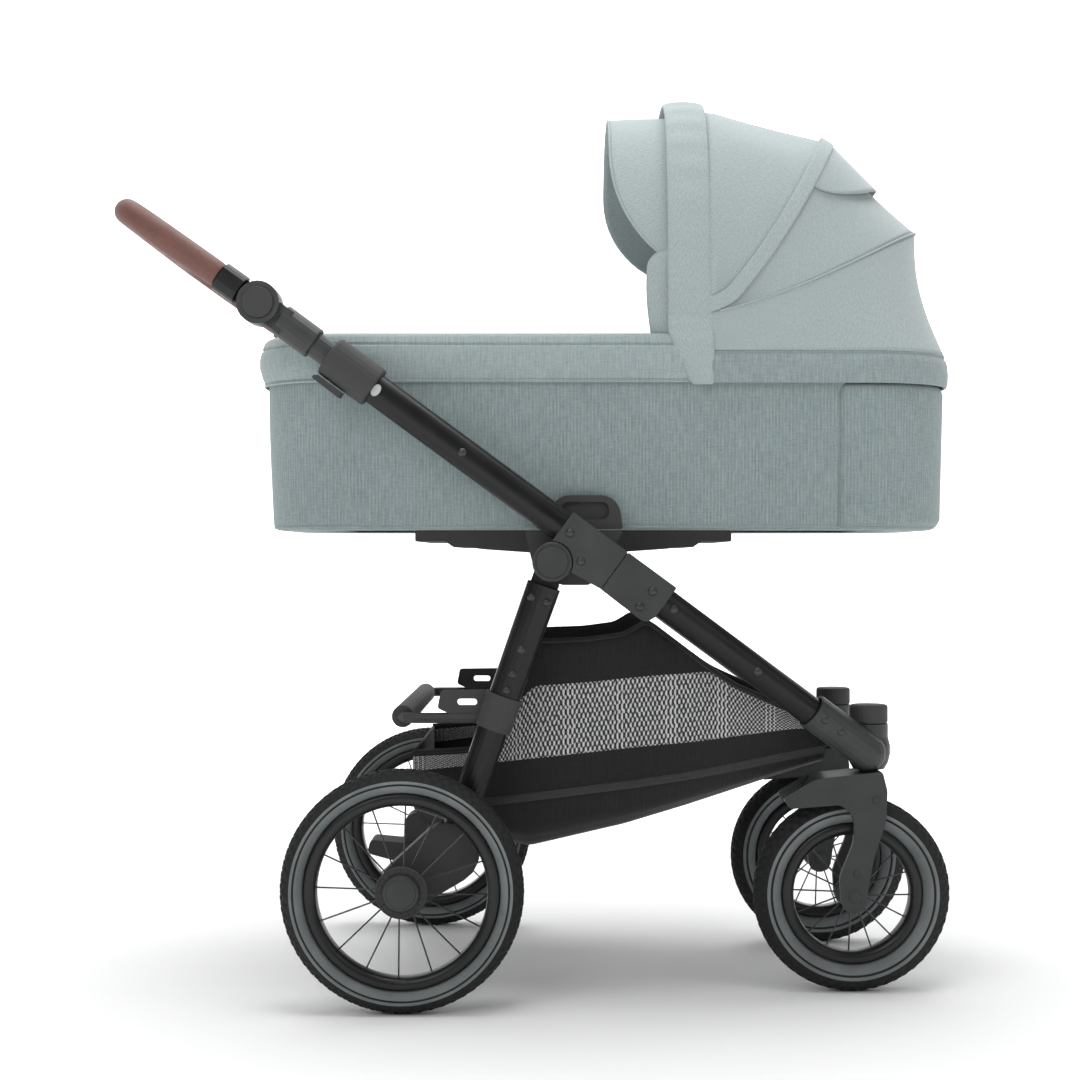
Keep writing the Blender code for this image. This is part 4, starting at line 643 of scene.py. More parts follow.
@dataclass
class Shop:
    """Puts finished pieces into the scene and keeps count of them."""

    layout: Layout
    made: list[str] = field(default_factory=list)

    def piece(
        self,
        name: str,
        surfaces: Union[Surface, Sequence[Surface]],
        looks: Union[Look, Sequence[Look]],
        body: Union[str, tuple[str, str, Array, Array]],
        slot: str,
        replaces: Sequence[str] = (),
        wall: float = 0.0,
        offset: float = -1.0,
        levels: int = 0,
        sharp: float = 35.0,
    ) -> bpy.types.Object:
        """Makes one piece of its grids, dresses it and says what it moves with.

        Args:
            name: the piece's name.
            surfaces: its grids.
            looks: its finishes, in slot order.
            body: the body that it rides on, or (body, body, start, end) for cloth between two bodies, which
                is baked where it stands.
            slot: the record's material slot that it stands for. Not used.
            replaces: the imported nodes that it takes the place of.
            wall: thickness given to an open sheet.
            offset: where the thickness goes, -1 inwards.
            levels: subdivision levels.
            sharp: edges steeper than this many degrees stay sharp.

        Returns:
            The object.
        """
        grids = [surfaces] if isinstance(surfaces, Surface) else list(surfaces)
        mesh = mesh_of(name, grids)
        for look in [looks] if isinstance(looks, Look) else looks:
            mesh.materials.append(look.value.material())
        mesh.shade_smooth()
        mesh.set_sharp_from_angle(angle=math.radians(sharp))
        obj = bpy.data.objects.new(name, mesh)
        bpy.context.scene.collection.objects.link(obj)
        if wall:
            shell = obj.modifiers.new("cloth", "SOLIDIFY")
            shell.thickness, shell.offset = wall, offset
        if levels:
            fine = obj.modifiers.new("fine", "SUBSURF")
            fine.levels = fine.render_levels = levels
        self.attach(obj, body, replaces)
        return obj

    def attach(
        self, obj: bpy.types.Object, body: Union[str, tuple], replaces: Sequence[str]
    ) -> None:
        """Puts a piece on what it moves with, hides the nodes that it stands for and keeps count of it."""
        if isinstance(body, str):
            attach(obj, body)
        else:
            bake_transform(obj)
        if replaces:
            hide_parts(*replaces)
        self.made.append(obj.name)
        LOG.info(
            "%s: %d faces on %s",
            obj.name,
            len(obj.data.polygons),
            body if isinstance(body, str) else body[:2],
        )

    def dress(self, look: Look, *nodes: str) -> None:
        """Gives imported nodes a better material."""
        for node in nodes:
            for holder in self.layout.frame["nodes"][node].material_slots:
                holder.material = look.value.material()
            LOG.info("%s keeps its shape, in %s", node, look.value.name)


# ------------------------------------------------------------------ wheels
@dataclass
class Wheel:
    """A spoked wheel: a knobbed tyre with grey walls, a deep rim, crossed spokes and a hub."""

    shop: Shop
    name: str
    body: str
    centre: Array
    side: int
    radius: float
    tyre_depth: float
    hub_radius: float
    hub_half: float
    nodes: tuple[str, ...]
    has_cap: bool
    width: float = 0.045
    spokes: int = 16

    def tyre(self) -> None:
        """A closed profile turned about the axle, with knobs pressed into its crown.

        Across the crown the radius drops by the groove depth wherever two staggered square waves of the
        angle,
        and the gaps between three rows of knobs, fall away.
        """
        half, depth, outer = self.width / 2, self.tyre_depth, self.radius
        inner = outer - depth
        wall_r = np.array([0.0, 0.04, 0.10, 0.18, 0.28, 0.36, 0.42, 0.435, 0.45, 0.50, 0.56]) * depth + inner
        wall_y = np.array([0.35, 0.48, 0.64, 0.79, 0.91, 0.965, 0.985, 0.95, 0.99, 1.0, 0.985]) * half
        crown_y = np.linspace(0.965, -0.965, 45) * half
        crown_r = outer - depth * 0.42 * np.abs(np.linspace(1, -1, 45)) ** 2.8
        profile_r = np.concatenate([wall_r, crown_r, wall_r[::-1]])
        profile_y = np.concatenate([wall_y, crown_y, -wall_y[::-1]])
        steps = 384
        turn = np.linspace(0, 2 * math.pi, steps, endpoint=False)
        knobs = round(outer / 0.145 * 64)
        across = profile_y / half
        row = np.floor((across + 1) * 3.5)
        phase = (turn[None] * knobs / (2 * math.pi) + 0.5 * (row[:, None] % 2)) % 1.0
        solid = smoothstep(0.10, 0.24, phase) * smoothstep(0.10, 0.24, 1 - phase)
        between = np.abs(((across + 1) * 3.5) % 1.0 - 0.5)
        solid *= smoothstep(0.0, 0.10, 0.46 - between)[:, None]
        on_crown = np.zeros(len(profile_r))
        on_crown[len(wall_r) + 2 : len(wall_r) + 43] = 1.0
        radius = profile_r[:, None] - 0.0026 * (1 - solid) * on_crown[:, None]
        y = np.broadcast_to(profile_y[:, None], radius.shape)
        grid = np.stack([radius * np.cos(turn), y, radius * np.sin(turn)], axis=-1) + self.centre
        slots = np.zeros(len(profile_r), int)
        slots[len(wall_r) - 1 : len(wall_r) + 45] = 1
        line = np.isin(np.arange(len(profile_r)), [6, 7])
        slots[line | line[::-1]] = 1
        self.shop.piece(
            f"{self.name}_tyre_looks",
            Surface(grid, close_rows=True, close_cols=True, slots=slots),
            [Look.SIDEWALL, Look.TREAD],
            self.body,
            "tyre_rubber",
            replaces=[self.nodes[0]],
            sharp=50,
        )

    def rim(self) -> None:
        """A rounded channel turned about the axle: a superellipse whose edges swell into lips."""
        top = self.radius - self.tyre_depth + 0.0016
        shape = section(0.0150, 0.0082, 32, 3.0)
        lip = 0.0022 * smoothstep(0.0105, 0.0135, np.abs(shape[:, 0])) * np.sign(shape[:, 1])
        profile = np.stack([top - 0.0082 + shape[:, 1] + np.abs(lip) * 0.5, shape[:, 0]], axis=1)
        self.shop.piece(
            f"{self.name}_rim",
            revolved(profile, self.centre, 120, closed=True),
            Look.RIM,
            self.body,
            "rim_metal",
            replaces=[self.nodes[1]],
        )

    def ray(self, index: int, share: float) -> Array:
        """The direction of a spoke's end: even ones lean forwards round the hub and odd ones back."""
        turn = 2 * math.pi * index / self.spokes - 0.04
        lean = (0.10 if index % 2 else -0.10) * (1 - share)
        return np.array([math.cos(turn + lean), 0.0, math.sin(turn + lean)])

    def spoke_set(self) -> None:
        """Thin straight rods from the hub's two flanges to the rim."""
        rods = []
        for k in range(self.spokes):
            flange = (1 if k % 2 else -1) * 0.009
            start = self.centre + self.ray(k, 0.0) * (self.hub_radius * 0.92) + Y_AXIS * flange
            end = self.centre + self.ray(k, 1.0) * (self.radius - self.tyre_depth - 0.012)
            rods.append(rounded_rod(start, end, 0.0010, 0.0010, 0.0002, 8))
        self.shop.piece(f"{self.name}_spokes", rods, Look.STEEL, self.body, "rim_metal")

    def hub(self) -> None:
        """A turned hub with two flanges. A rear one carries a ribbed ring and a domed cap."""
        end, r = self.hub_half, self.hub_radius
        flange = [
            [0.008, end],
            [r * 0.62, end],
            [r * 0.66, end - 0.001],
            [r * 0.66, 0.0125],
            [r, 0.0118],
            [r + 0.0006, 0.0105],
            [r, 0.0068],
            [r * 0.6, 0.0055],
        ]
        profile = np.array(flange + [[radius, -y] for radius, y in flange[::-1]])
        parts = [revolved(profile, self.centre, 48)]
        if self.has_cap:
            s = self.side
            dish = np.array(
                [
                    [0.006, 0.0125],
                    [0.0298, 0.0125],
                    [0.0310, 0.0135],
                    [0.0312, 0.0152],
                    [0.0302, 0.0164],
                    [0.0288, 0.0168],
                    [0.0282, 0.0160],
                    [0.006, 0.0160],
                ]
            )
            parts.append(revolved(dish * [1, s], self.centre, 72))
            for k in range(20):
                turn = 2 * math.pi * k / 20
                way = np.array([math.cos(turn), 0.0, math.sin(turn)])
                spot = self.centre + Y_AXIS * s * 0.0162
                parts.append(rounded_rod(spot + way * 0.0236, spot + way * 0.0276, 0.0010, 0.0010, 0.0003, 8))
        self.shop.piece(f"{self.name}_hub", parts, Look.PLASTIC, self.body, "rim_metal")
        if self.has_cap:
            cap = np.array(
                [
                    [0.0005, 0.0252],
                    [0.0120, 0.0250],
                    [0.0172, 0.0242],
                    [0.0178, 0.0234],
                    [0.0188, 0.0234],
                    [0.0208, 0.0226],
                    [0.0222, 0.0204],
                    [0.0226, 0.0165],
                    [0.0215, 0.0158],
                ]
            )
            self.shop.piece(
                f"{self.name}_cap_looks",
                revolved(cap * [1, self.side], self.centre, 72),
                Look.CHARCOAL,
                self.body,
                "black_plastic",
                replaces=[self.nodes[2]],
            )

    def build(self) -> None:
        """Builds the wheel from the outside in."""
        self.tyre()
        self.rim()
        self.spoke_set()
        self.hub()


# ------------------------------------------------------------------ side frames and handle
@dataclass
class SideFrames:
    """The tubes, brackets, hinges, forks and legs of both sides."""

    shop: Shop
    tube_half_height: float = 0.019
    tube_half_width: float = 0.0165
    rivet_radius: float = 0.0054

    def lower_line(self, side: int, along: Union[float, Array]) -> Array:
        """The lower tube's middle line, which runs in from the hinge to the head casting."""
        top = self.shop.layout.on_frame(-0.110, -0.0012, side * 0.25)
        foot = self.shop.layout.on_frame(-0.4447, -0.0012, side * 0.179)
        share = (-0.110 - np.asarray(along, float)[..., None]) / 0.3347
        return top + (foot - top) * share

    def tubes(self, word: str, side: int) -> None:
        """The two oval side tubes."""
        shop, layout = self.shop, self.shop.layout
        a, b = self.tube_half_height, self.tube_half_width
        lower = rounded_rod(
            self.lower_line(side, -0.112), self.lower_line(side, -0.410), a - 0.0010, b, count=56
        )
        shop.piece(
            f"lower_tube_{word}_looks", lower, Look.TUBE, "front_frame", "frame_tube", [f"lower_tube_{word}"]
        )
        top = layout.on_frame(0.3501, 0, side * layout.tube_y)
        foot = layout.on_frame(-0.035, 0, side * layout.tube_y)
        upper = rounded_rod(foot, top, a, b, count=56)
        shop.piece(
            f"upper_tube_{word}_looks", upper, Look.TUBE, "push_frame", "frame_tube", [f"upper_tube_{word}"]
        )

    def rivets(self, word: str, side: int) -> None:
        """Domed heads on the outer faces, each on the body of what it holds."""
        shop, layout = self.shop, self.shop.layout
        face = side * (layout.tube_y + 0.0212)
        r = self.rivet_radius

        def heads(name: str, body: str, spots: Sequence[Array], radius: float = r) -> None:
            """One piece of several rivets."""
            domes = [dome(spot, radius, 0.0030, side) for spot in spots]
            shop.piece(f"{name}_{word}", domes, Look.STEEL, body, "black_plastic")

        push = [layout.on_frame(0.0034, -0.001, face), layout.on_frame(-0.0270, -0.0205, face)]
        push.append(layout.on_frame(0.1636, 0, side * (layout.tube_y + self.tube_half_width)))
        heads("bracket_rivets", "push_frame", push)
        front = [layout.on_frame(-0.1167, 0.001, face), layout.on_frame(-0.1154, -0.0225, face)]
        for along in (-0.1501, -0.2789):
            front.append(self.lower_line(side, along) + Y_AXIS * side * self.tube_half_width)
        for along in (-0.383, -0.408):
            front.append(self.lower_line(side, along) + Y_AXIS * side * 0.0203 + Z_AXIS * 0.002)
        heads("frame_rivets", "front_frame", front)
        down = unit(layout.arm_foot - layout.pivot)
        legs = []
        for distance, lean in ((0.048, -0.009), (0.048, 0.010), (0.1115, 0.0), (0.143, 0.0), (0.1635, 0.0)):
            y = 0.2444 - 0.0165 * (distance - 0.043) / 0.330
            spot = layout.pivot + down * distance + np.array([-down[2], 0, down[0]]) * lean
            legs.append(spot * [1, 0, 1] + Y_AXIS * side * (y + 0.0147 - abs(lean) * 0.12))
        heads("leg_rivets", "rear_legs", legs, 0.0050)

    def cap(self, word: str, side: int) -> None:
        """The round cover over the hinge: a flat disc with a shallow ring."""
        layout = self.shop.layout
        low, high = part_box(f"hinge_cap_{word}")
        outer = max(abs(low[1]), abs(high[1]))
        inner = min(abs(low[1]), abs(high[1]))
        rings = [
            [0.0005, outer - 0.0006],
            [0.0185, outer - 0.0006],
            [0.0192, outer - 0.0012],
            [0.0200, outer - 0.0012],
            [0.0206, outer - 0.0002],
            [0.0228, outer - 0.0004],
            [0.0238, outer - 0.0016],
            [0.0240, inner + 0.001],
            [0.0232, inner],
        ]
        spot = layout.pivot * [1, 0, 1]
        self.shop.piece(
            f"hinge_cap_{word}_looks",
            revolved(np.array(rings) * [1, side], spot, 72),
            Look.CHARCOAL,
            "push_frame",
            "hinge_plastic",
            [f"hinge_cap_{word}"],
        )

    def mark(self, word: str, side: int) -> None:
        """A small pale oval on the upper tube, under the clamp."""
        layout = self.shop.layout
        spot = layout.on_frame(0.2905, -0.001, side * (layout.tube_y + self.tube_half_width - 0.0004))
        turn = np.linspace(0, 2 * math.pi, 28, endpoint=False)
        rings = []
        for scale, rise in ((1.0, 0.0), (1.0, 0.0006), (0.8, 0.0010)):
            flat = layout.up_frame * (0.0052 * scale * np.cos(turn))[:, None]
            flat = flat + layout.over_frame * (0.0078 * scale * np.sin(turn))[:, None]
            rings.append(spot + flat + Y_AXIS * side * rise)
        grid = Surface(np.array(rings), close_cols=True, caps=True)
        self.shop.piece(f"tube_mark_{word}", grid, Look.PALE, "push_frame", "black_plastic")

    def fork_bolts(self, word: str, side: int) -> None:
        """Bolt heads on the fork's cheeks."""
        layout = self.shop.layout
        heads = []
        reach = 0.027 + 0.008
        for way in (-1, 1):
            y = layout.swivel[1] * side + way * reach
            for x, z, radius in (
                (layout.front_hub[0], layout.front_hub[2], 0.0088),
                (layout.front_hub[0] + 0.002, layout.front_hub[2] + 0.028, 0.0046),
                (layout.swivel[0] + 0.004, layout.front_hub[2] + 0.119, 0.0050),
            ):
                heads.append(dome(np.array([x, y, z]), radius, 0.0024, way, 28))
        self.shop.piece(f"fork_bolts_{word}", heads, Look.PLASTIC, f"fork_{word}", "hinge_plastic")

    def build(self) -> None:
        """Builds both sides."""
        for word, side in SIDES.items():
            self.tubes(word, side)
            self.rivets(word, side)
            self.cap(word, side)
            self.mark(word, side)
            self.fork_bolts(word, side)
            charcoal = ("upper_bracket", "lower_bracket", "head_casting", "handle_post", "fork")
            self.shop.dress(Look.CHARCOAL, *(f"{name}_{word}" for name in charcoal))
            black = ("hinge_housing", "swivel_knob", "clamp_collar", "clamp_lever", "knuckle_button")
            self.shop.dress(Look.PLASTIC, *(f"{name}_{word}" for name in black))
            self.shop.dress(Look.PLASTIC, f"swing_arm_{word}", f"release_handle_{word}")
            self.shop.dress(Look.TUBE, f"rear_leg_{word}")
        self.shop.dress(Look.TUBE, "front_brace", "rear_axle", "handlebar_tube")
        self.shop.dress(Look.PLASTIC, "rear_cross_member", "brake_pedal", "carrycot_base")
        self.shop.dress(Look.PLASTIC, "hood_middle_bow", "hood_rear_bow")


@dataclass
class Grip:
    """The leather sleeve over the handle's U, sewn along its inner side."""

    shop: Shop
    angle: float = math.radians(35.2)
    reach: float = 0.2117
    corner: float = 0.07
    start: float = 0.0605
    radius: float = 0.0158

    def path(self, steps: int) -> Array:
        """The U: out along one arm, a quarter circle, across, a quarter circle and back, evenly spaced."""
        layout = self.shop.layout
        y, c = layout.tube_y, self.corner
        turn = np.linspace(0, math.pi / 2, 24)
        along = np.concatenate([[self.start], self.reach - c + c * np.sin(turn)])
        across = np.concatenate([[y], y - c + c * np.cos(turn)])
        along = np.concatenate([along, along[::-1]])
        across = np.concatenate([across, -across[::-1]])
        travelled = np.concatenate([[0], np.cumsum(np.hypot(np.diff(along), np.diff(across)))])
        marks = np.linspace(0, travelled[-1], steps)
        along, across = np.interp(marks, travelled, along), np.interp(marks, travelled, across)
        out = np.array([-math.cos(self.angle), 0, math.sin(self.angle)])
        return layout.knuckle * [1, 0, 1] + out * along[:, None] + Y_AXIS * across[:, None]

    def build(self) -> None:
        """Builds the sleeve, its end bands and the stitches."""
        path = self.path(161)
        normal = np.array([math.sin(self.angle), 0, math.cos(self.angle)])
        scale = np.ones(161)
        scale[[0, -1]], scale[[1, -2]] = 0.94, 0.99
        sleeve = swept(path, section(self.radius, self.radius, 40), normal, scale)
        self.shop.piece(
            "grip_leather",
            Surface(sleeve, close_cols=True, caps=True),
            Look.LEATHER,
            "handlebar",
            "handle_leather",
            ["handlebar_grip"],
            sharp=60,
        )
        seam_path = self.path(320)
        tangent = np.gradient(seam_path, axis=0)
        tangent /= np.linalg.norm(tangent, axis=1, keepdims=True)
        inner = np.cross(normal, tangent)
        inner *= np.sign((inner * (seam_path.mean(axis=0) - seam_path)).sum(axis=1, keepdims=True))
        stitches = []
        for k in range(4, 316, 4):
            spot = seam_path[k] + unit(inner[k] - 0.35 * normal) * (self.radius - 0.0002)
            way = tangent[k] * 0.0016
            stitches.append(rounded_rod(spot - way, spot + way, 0.0006, 0.0006, 0.0002, 6))
        self.shop.piece("grip_stitches", stitches, Look.LEATHER, "handlebar", "handle_leather")


# ------------------------------------------------------------------ basket
@dataclass
class Basket:
    """A black canvas tub with a tweed net along each side, hung under the frame."""

    shop: Shop
    half_width: float = 0.199
    start: float = -0.152
    rim_hem: float = 0.005
    rim_stops: tuple = (
        (-0.152, 0.300),
        (-0.068, 0.306),
        (-0.045, 0.350),
        (-0.016, 0.428),
        (-0.004, 0.4375),
        (0.063, 0.4400),
        (0.108, 0.4460),
        (0.136, 0.4630),
        (0.210, 0.4070),
        (0.244, 0.3840),
        (0.3625, 0.331),
    )
    net_top_stops: tuple = (
        (-0.152, 0.298),
        (-0.05, 0.335),
        (-0.002, 0.3828),
        (0.061, 0.3869),
        (0.142, 0.395),
        (0.209, 0.400),
        (0.3625, 0.4),
    )
    net_foot_stops: tuple = (
        (-0.152, 0.277),
        (-0.0325, 0.2905),
        (0.1423, 0.3092),
        (0.321, 0.3265),
        (0.3625, 0.3265),
    )
    band_stops: tuple = (
        (-0.152, 0.238),
        (-0.053, 0.2400),
        (0.118, 0.2610),
        (0.26, 0.2830),
        (0.3625, 0.3005),
    )
    floor_stops: tuple = (
        (-0.152, 0.225),
        (-0.062, 0.193),
        (-0.010, 0.1805),
        (0.110, 0.2080),
        (0.210, 0.2385),
        (0.3625, 0.283),
    )

    def build(self) -> None:
        """A U-shaped section drawn along X.

        At each X the section runs down one side through the net's top, the net's foot and the piping to the
        floor,
        and up the other side. Heights between the stations are straight.
        """
        _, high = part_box("basket")
        x = np.linspace(self.start, high[0] - 0.001, 91)

        def line(stops: Sequence[tuple[float, float]]) -> Array:
            """Heights along X through (x, z) stops."""
            return np.interp(x, *np.transpose(stops))

        rim = line(self.rim_stops)
        net_top = np.minimum(line(self.net_top_stops), rim - self.rim_hem)
        net_foot = np.minimum(line(self.net_foot_stops), net_top - 0.002)
        piping = line(self.band_stops)
        floor = line(self.floor_stops)
        kernel = np.array([1, 2, 1]) / 4
        smooth = [
            np.convolve(np.pad(row, 1, mode="edge"), kernel, mode="valid")
            for row in (rim, net_top, net_foot, piping, floor)
        ]
        rim, net_top, net_foot, piping, floor = smooth
        width = self.half_width - 0.045 * smoothstep(0.17, 0.37, x) - 0.012 * (
            1 - smoothstep(-0.16, -0.09, x)
        )
        heights, widths, slots = [], [], []

        def band(top: Array, foot: Array, wide_top: float, wide_foot: float, count: int, slot: int) -> None:
            """Rows from one line to the next, each a share of the way."""
            for share in np.linspace(0, 1, count, endpoint=False):
                heights.append(top + (foot - top) * share)
                widths.append(wide_top + (wide_foot - wide_top) * share)
                slots.append(slot)

        band(rim, net_top, 1.0, 0.995, 5, 0)
        band(net_top, net_foot, 0.995, 0.99, 8, 1)
        band(net_foot, piping, 0.99, 0.965, 4, 0)
        corner = floor + (piping - floor) * 0.3
        band(piping, corner, 0.965, 0.90, 4, 0)
        band(corner, floor, 0.90, 0.78, 3, 0)
        band(floor, floor, 0.78, 0.0, 8, 0)
        heights.append(floor)
        widths.append(0.0)
        z = np.array(heights)
        y = np.array(widths)[:, None] * width[None]
        sag = 0.004 * np.sin(np.linspace(0, 3 * math.pi, len(x)))[None] * np.array(widths)[:, None] ** 4
        y = y - np.abs(sag)
        z = np.concatenate([z, z[-2::-1]])
        y = np.concatenate([-y, y[-2::-1]])
        faces = np.array(slots + slots[::-1] + [0])
        grid = np.stack([np.broadcast_to(x, z.shape), y, z], axis=-1)
        middle = np.array([0.08, 0.0, 0.42])
        ends = ("front_frame", "rear_legs", np.array([0.12, 0, 0.32]), np.array([-0.12, 0, 0.32]))
        walls = []
        for column in (0, -1):
            ring = grid[: len(grid) // 2 + 1, column], grid[::-1][: len(grid) // 2 + 1, column]
            walls.append(Surface(np.stack(ring, axis=1), centre=middle))
        self.shop.piece(
            "basket_looks",
            [Surface(grid, slots=faces, centre=middle), *walls],
            [Look.BASKET_CANVAS, Look.NET],
            ends,
            "basket_fabric",
            ["basket"],
            wall=0.003,
            sharp=50,
        )
        cords = []
        for row, flat, tall in ((0, 0.0030, 0.0030), (17, 0.0012, 0.0050)):
            for way in (row, len(grid) - 1 - row):
                path = grid[way] + np.sign(grid[way][0, 1]) * Y_AXIS * 0.0008
                shape = section(flat, tall, 14, 2.4) if row else section(flat, tall, 10)
                cords.append(Surface(swept(path, shape, Z_AXIS), close_cols=True, caps=True))
        self.shop.piece("basket_binding", cords[:2], Look.BASKET_CANVAS, ends, "basket_fabric")
        self.shop.piece("basket_band", cords[2:], Look.PIPING, ends, "basket_fabric")


# ------------------------------------------------------------------ carrycot
@dataclass
class Plan:
    """A rounded rectangle seen from above, with its outward directions."""

    foot: float
    head: float
    half_width: float
    corner: float
    count: int = 288

    def points(self) -> tuple[Array, Array]:
        """Evenly spaced points and their normals, starting in the middle of the head end."""
        box = np.array(
            [
                [self.head, -self.half_width],
                [self.head, self.half_width],
                [self.foot, self.half_width],
                [self.foot, -self.half_width],
            ]
        )
        ring = spaced(filleted(box, self.corner, 24), self.count)
        shift = int(np.argmin(np.abs(ring[:, 1]) + 10 * (ring[:, 0] < 0)))
        ring = np.roll(ring, -shift, axis=0)
        return ring, outline_normals(ring)

    def wall(self, profile: Array, keep: Optional[Array] = None, ripple: float = 0.0) -> Array:
        """Rows of (out, z) carried round the plan: each point is the plan's, moved out along its normal."""
        ring, normal = self.points()
        if keep is not None:
            start = int(np.flatnonzero(keep & ~np.roll(keep, 1))[0])
            order = (start + np.arange(int(keep.sum()))) % self.count
            ring, normal = ring[order], normal[order]
        u = np.arange(len(ring)) / self.count * 2 * math.pi
        out, z = profile[:, :1], profile[:, 1:]
        tall = (z - z.min()) / max(float(np.ptp(z)), 1e-6)
        wave = ripple * np.sin(math.pi * tall) * (
            np.sin(9 * u + 2.2 * tall) + 0.6 * np.sin(17 * u - 3 * tall + 1)
        )
        flat = ring[None] + normal[None] * (out + wave)[..., None]
        return np.concatenate([flat, np.broadcast_to(z[..., None], (*flat.shape[:2], 1))], axis=-1)


@dataclass
class Carrycot:
    """The cot: canvas walls over a firm tub, a wrap round its head end, the mattress and the foot's apron."""

    shop: Shop
    corner: float = 0.10
    hem_out: float = 0.0074
    rim_rise: float = 0.0165

    def __post_init__(self) -> None:
        """Takes the tub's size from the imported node."""
        low, high = self.shop.layout.tub
        self.low, self.high = low, high
        self.plan = Plan(low[0], high[0], high[1], self.corner)
        self.hem_foot = high[2] - 0.0450
        self.skirt_x = self.shop.layout.hood[0] - 0.0225
        self.cover_x = self.shop.layout.hood[0] - 0.0595

    def walls(self) -> None:
        """The outer canvas with a rolled foot, and the pale lining inside."""
        z0, z1 = self.low[2], self.high[2]
        rise = np.linspace(0, 1, 26)
        up = np.stack(
            [-0.0055 * (1 - rise) + 0.0012 * np.sin(math.pi * rise), z0 + 0.010 + (z1 - z0 - 0.010) * rise],
            axis=1,
        )
        turn = np.linspace(0, math.pi / 2, 5)[:-1]
        roll = np.stack([-0.0055 - 0.008 * (1 - np.sin(turn)), z0 + 0.010 - 0.010 * np.cos(turn)], axis=1)
        floor = np.array([[-0.09, z0], [-0.04, z0]])
        inside = np.array(
            [[-0.011, z1 - 0.001], [-0.013, z1 - 0.01], [-0.015, z0 + 0.05], [-0.017, z0 + 0.012]]
        )
        outer = Surface(self.plan.wall(np.concatenate([floor, roll, up]), ripple=0.0005), close_cols=True)
        lining = Surface(self.plan.wall(inside), close_cols=True)
        flat = self.plan.wall(np.array([[-0.017, z0 + 0.012], [-0.09, z0 + 0.012]]))
        outer.centre = lining.centre = np.array([0.08, 0, 0.69])
        top = self.plan.wall(
            np.array([[0.0, z1], [-0.003, z1 + 0.0015], [-0.009, z1 + 0.001], [-0.011, z1 - 0.001]])
        )
        self.shop.piece(
            "cot_canvas",
            [outer, Surface(top, close_cols=True, centre=np.array([0.08, 0, 0.69]))],
            Look.CANVAS,
            "carrycot",
            "grey_fabric",
            ["carrycot_tub"],
            wall=0.0015,
        )
        lining_piece = [lining, Surface(flat, close_cols=True, centre=np.array([0.08, 0, 0.0]))]
        self.shop.piece("cot_lining", lining_piece, Look.LINING, "carrycot", "grey_fabric", wall=0.0015)
        ring, normal = self.plan.points()
        loop = np.concatenate([ring - normal * 0.0075, np.full((len(ring), 1), z0 + 0.0035)], axis=1)
        loop = np.concatenate([loop, loop[:1]])
        cord = Surface(swept(loop, section(0.0017, 0.0017, 8), Z_AXIS), close_cols=True)
        self.shop.piece("cot_foot_piping", cord, Look.CANVAS, "carrycot", "grey_fabric")

    def wrap(self) -> None:
        """The raised canvas wrap round the head end, its edges rolled down to the wall.

        Its height over the wall is 3.2 mm times a smooth step in from each edge.
        """
        ring, _ = self.plan.points()
        keep = ring[:, 0] > self.high[0] - 0.1465
        z = np.linspace(self.low[2] + 0.004, self.hem_foot + 0.001, 36)
        rise = (z - self.low[2]) / (self.high[2] - self.low[2])
        grid = self.plan.wall(np.stack([-0.0055 * (1 - rise) + 0.0004, z], axis=1), keep)
        edge = np.minimum(np.arange(grid.shape[1]), np.arange(grid.shape[1])[::-1]) * 0.0048
        round_corner = 0.010 * (1 - np.sqrt(1 - np.clip(1 - edge / 0.010, 0, 1) ** 2))
        grid[..., 2] -= round_corner[None] * rise[:, None] ** 2
        tall = np.minimum(z - z[0] + 0.001, z[-1] - z + 0.001)
        puff = 0.0056 * smoothstep(-0.001, 0.008, edge)[None] * smoothstep(0, 0.010, tall)[:, None]
        _, normal = self.plan.points()
        start = int(np.flatnonzero(keep & ~np.roll(keep, 1))[0])
        order = (start + np.arange(int(keep.sum()))) % self.plan.count
        grid[..., :2] += normal[order][None] * puff[..., None]
        self.shop.piece(
            "cot_end_wrap",
            Surface(grid, centre=np.array([0.2, 0, 0.65])),
            Look.CANVAS,
            "carrycot",
            "grey_fabric",
            wall=0.0022,
        )

    def apron(self) -> None:
        """The foot cover: a hem, a soft roll over the rim, and a top that crowns towards its middle.

        The top's rows run from the rim to a spine along Y = 0, and rise as 1 - (1 - share)^2.
        """
        ring, _ = self.plan.points()
        keep = ring[:, 0] < self.skirt_x + 0.004
        top = self.high[2] + self.rim_rise
        hem = self.hem_out
        turn = np.linspace(0, math.pi / 2, 7)
        skirt = np.array(
            [
                [hem - 0.0050, self.hem_foot + 0.0025],
                [hem - 0.0030, self.hem_foot],
                [hem - 0.0010, self.hem_foot + 0.0015],
                [hem - 0.0026, self.hem_foot + 0.0040],
                [hem + 0.0006, self.hem_foot + 0.0120],
                [hem + 0.0040, self.hem_foot + 0.0250],
                [hem + 0.0044, self.hem_foot + 0.0350],
                [hem + 0.0026, self.hem_foot + 0.0435],
                [hem - 0.0006, self.hem_foot + 0.0462],
                [hem + 0.0010, self.hem_foot + 0.0488],
            ]
        )
        roll = np.stack(
            [hem - 0.0004 - 0.014 * (1 - np.cos(turn)), top - 0.0090 + 0.0085 * np.sin(turn)], axis=1
        )
        edge = self.plan.wall(np.concatenate([skirt, roll[1:]]), keep, ripple=0.0007)
        last = edge[-1]
        spine = np.stack([np.clip(last[:, 0], self.low[0] + 0.16, None), 0 * last[:, 0], last[:, 2]], axis=1)
        share = np.linspace(0, 1, 14)[1:, None, None]
        cover = last[None] * (1 - share) + spine[None] * share
        cover[..., 2] += (0.0035 * (1 - (1 - share) ** 2))[..., 0]
        cover[..., 2] += 0.0008 * np.sin(cover[..., 0] * 31) * np.sin(cover[..., 1] * 23 + 1)
        limit = self.skirt_x - (self.skirt_x - self.cover_x) * smoothstep(0.0, 0.25, share[..., 0])
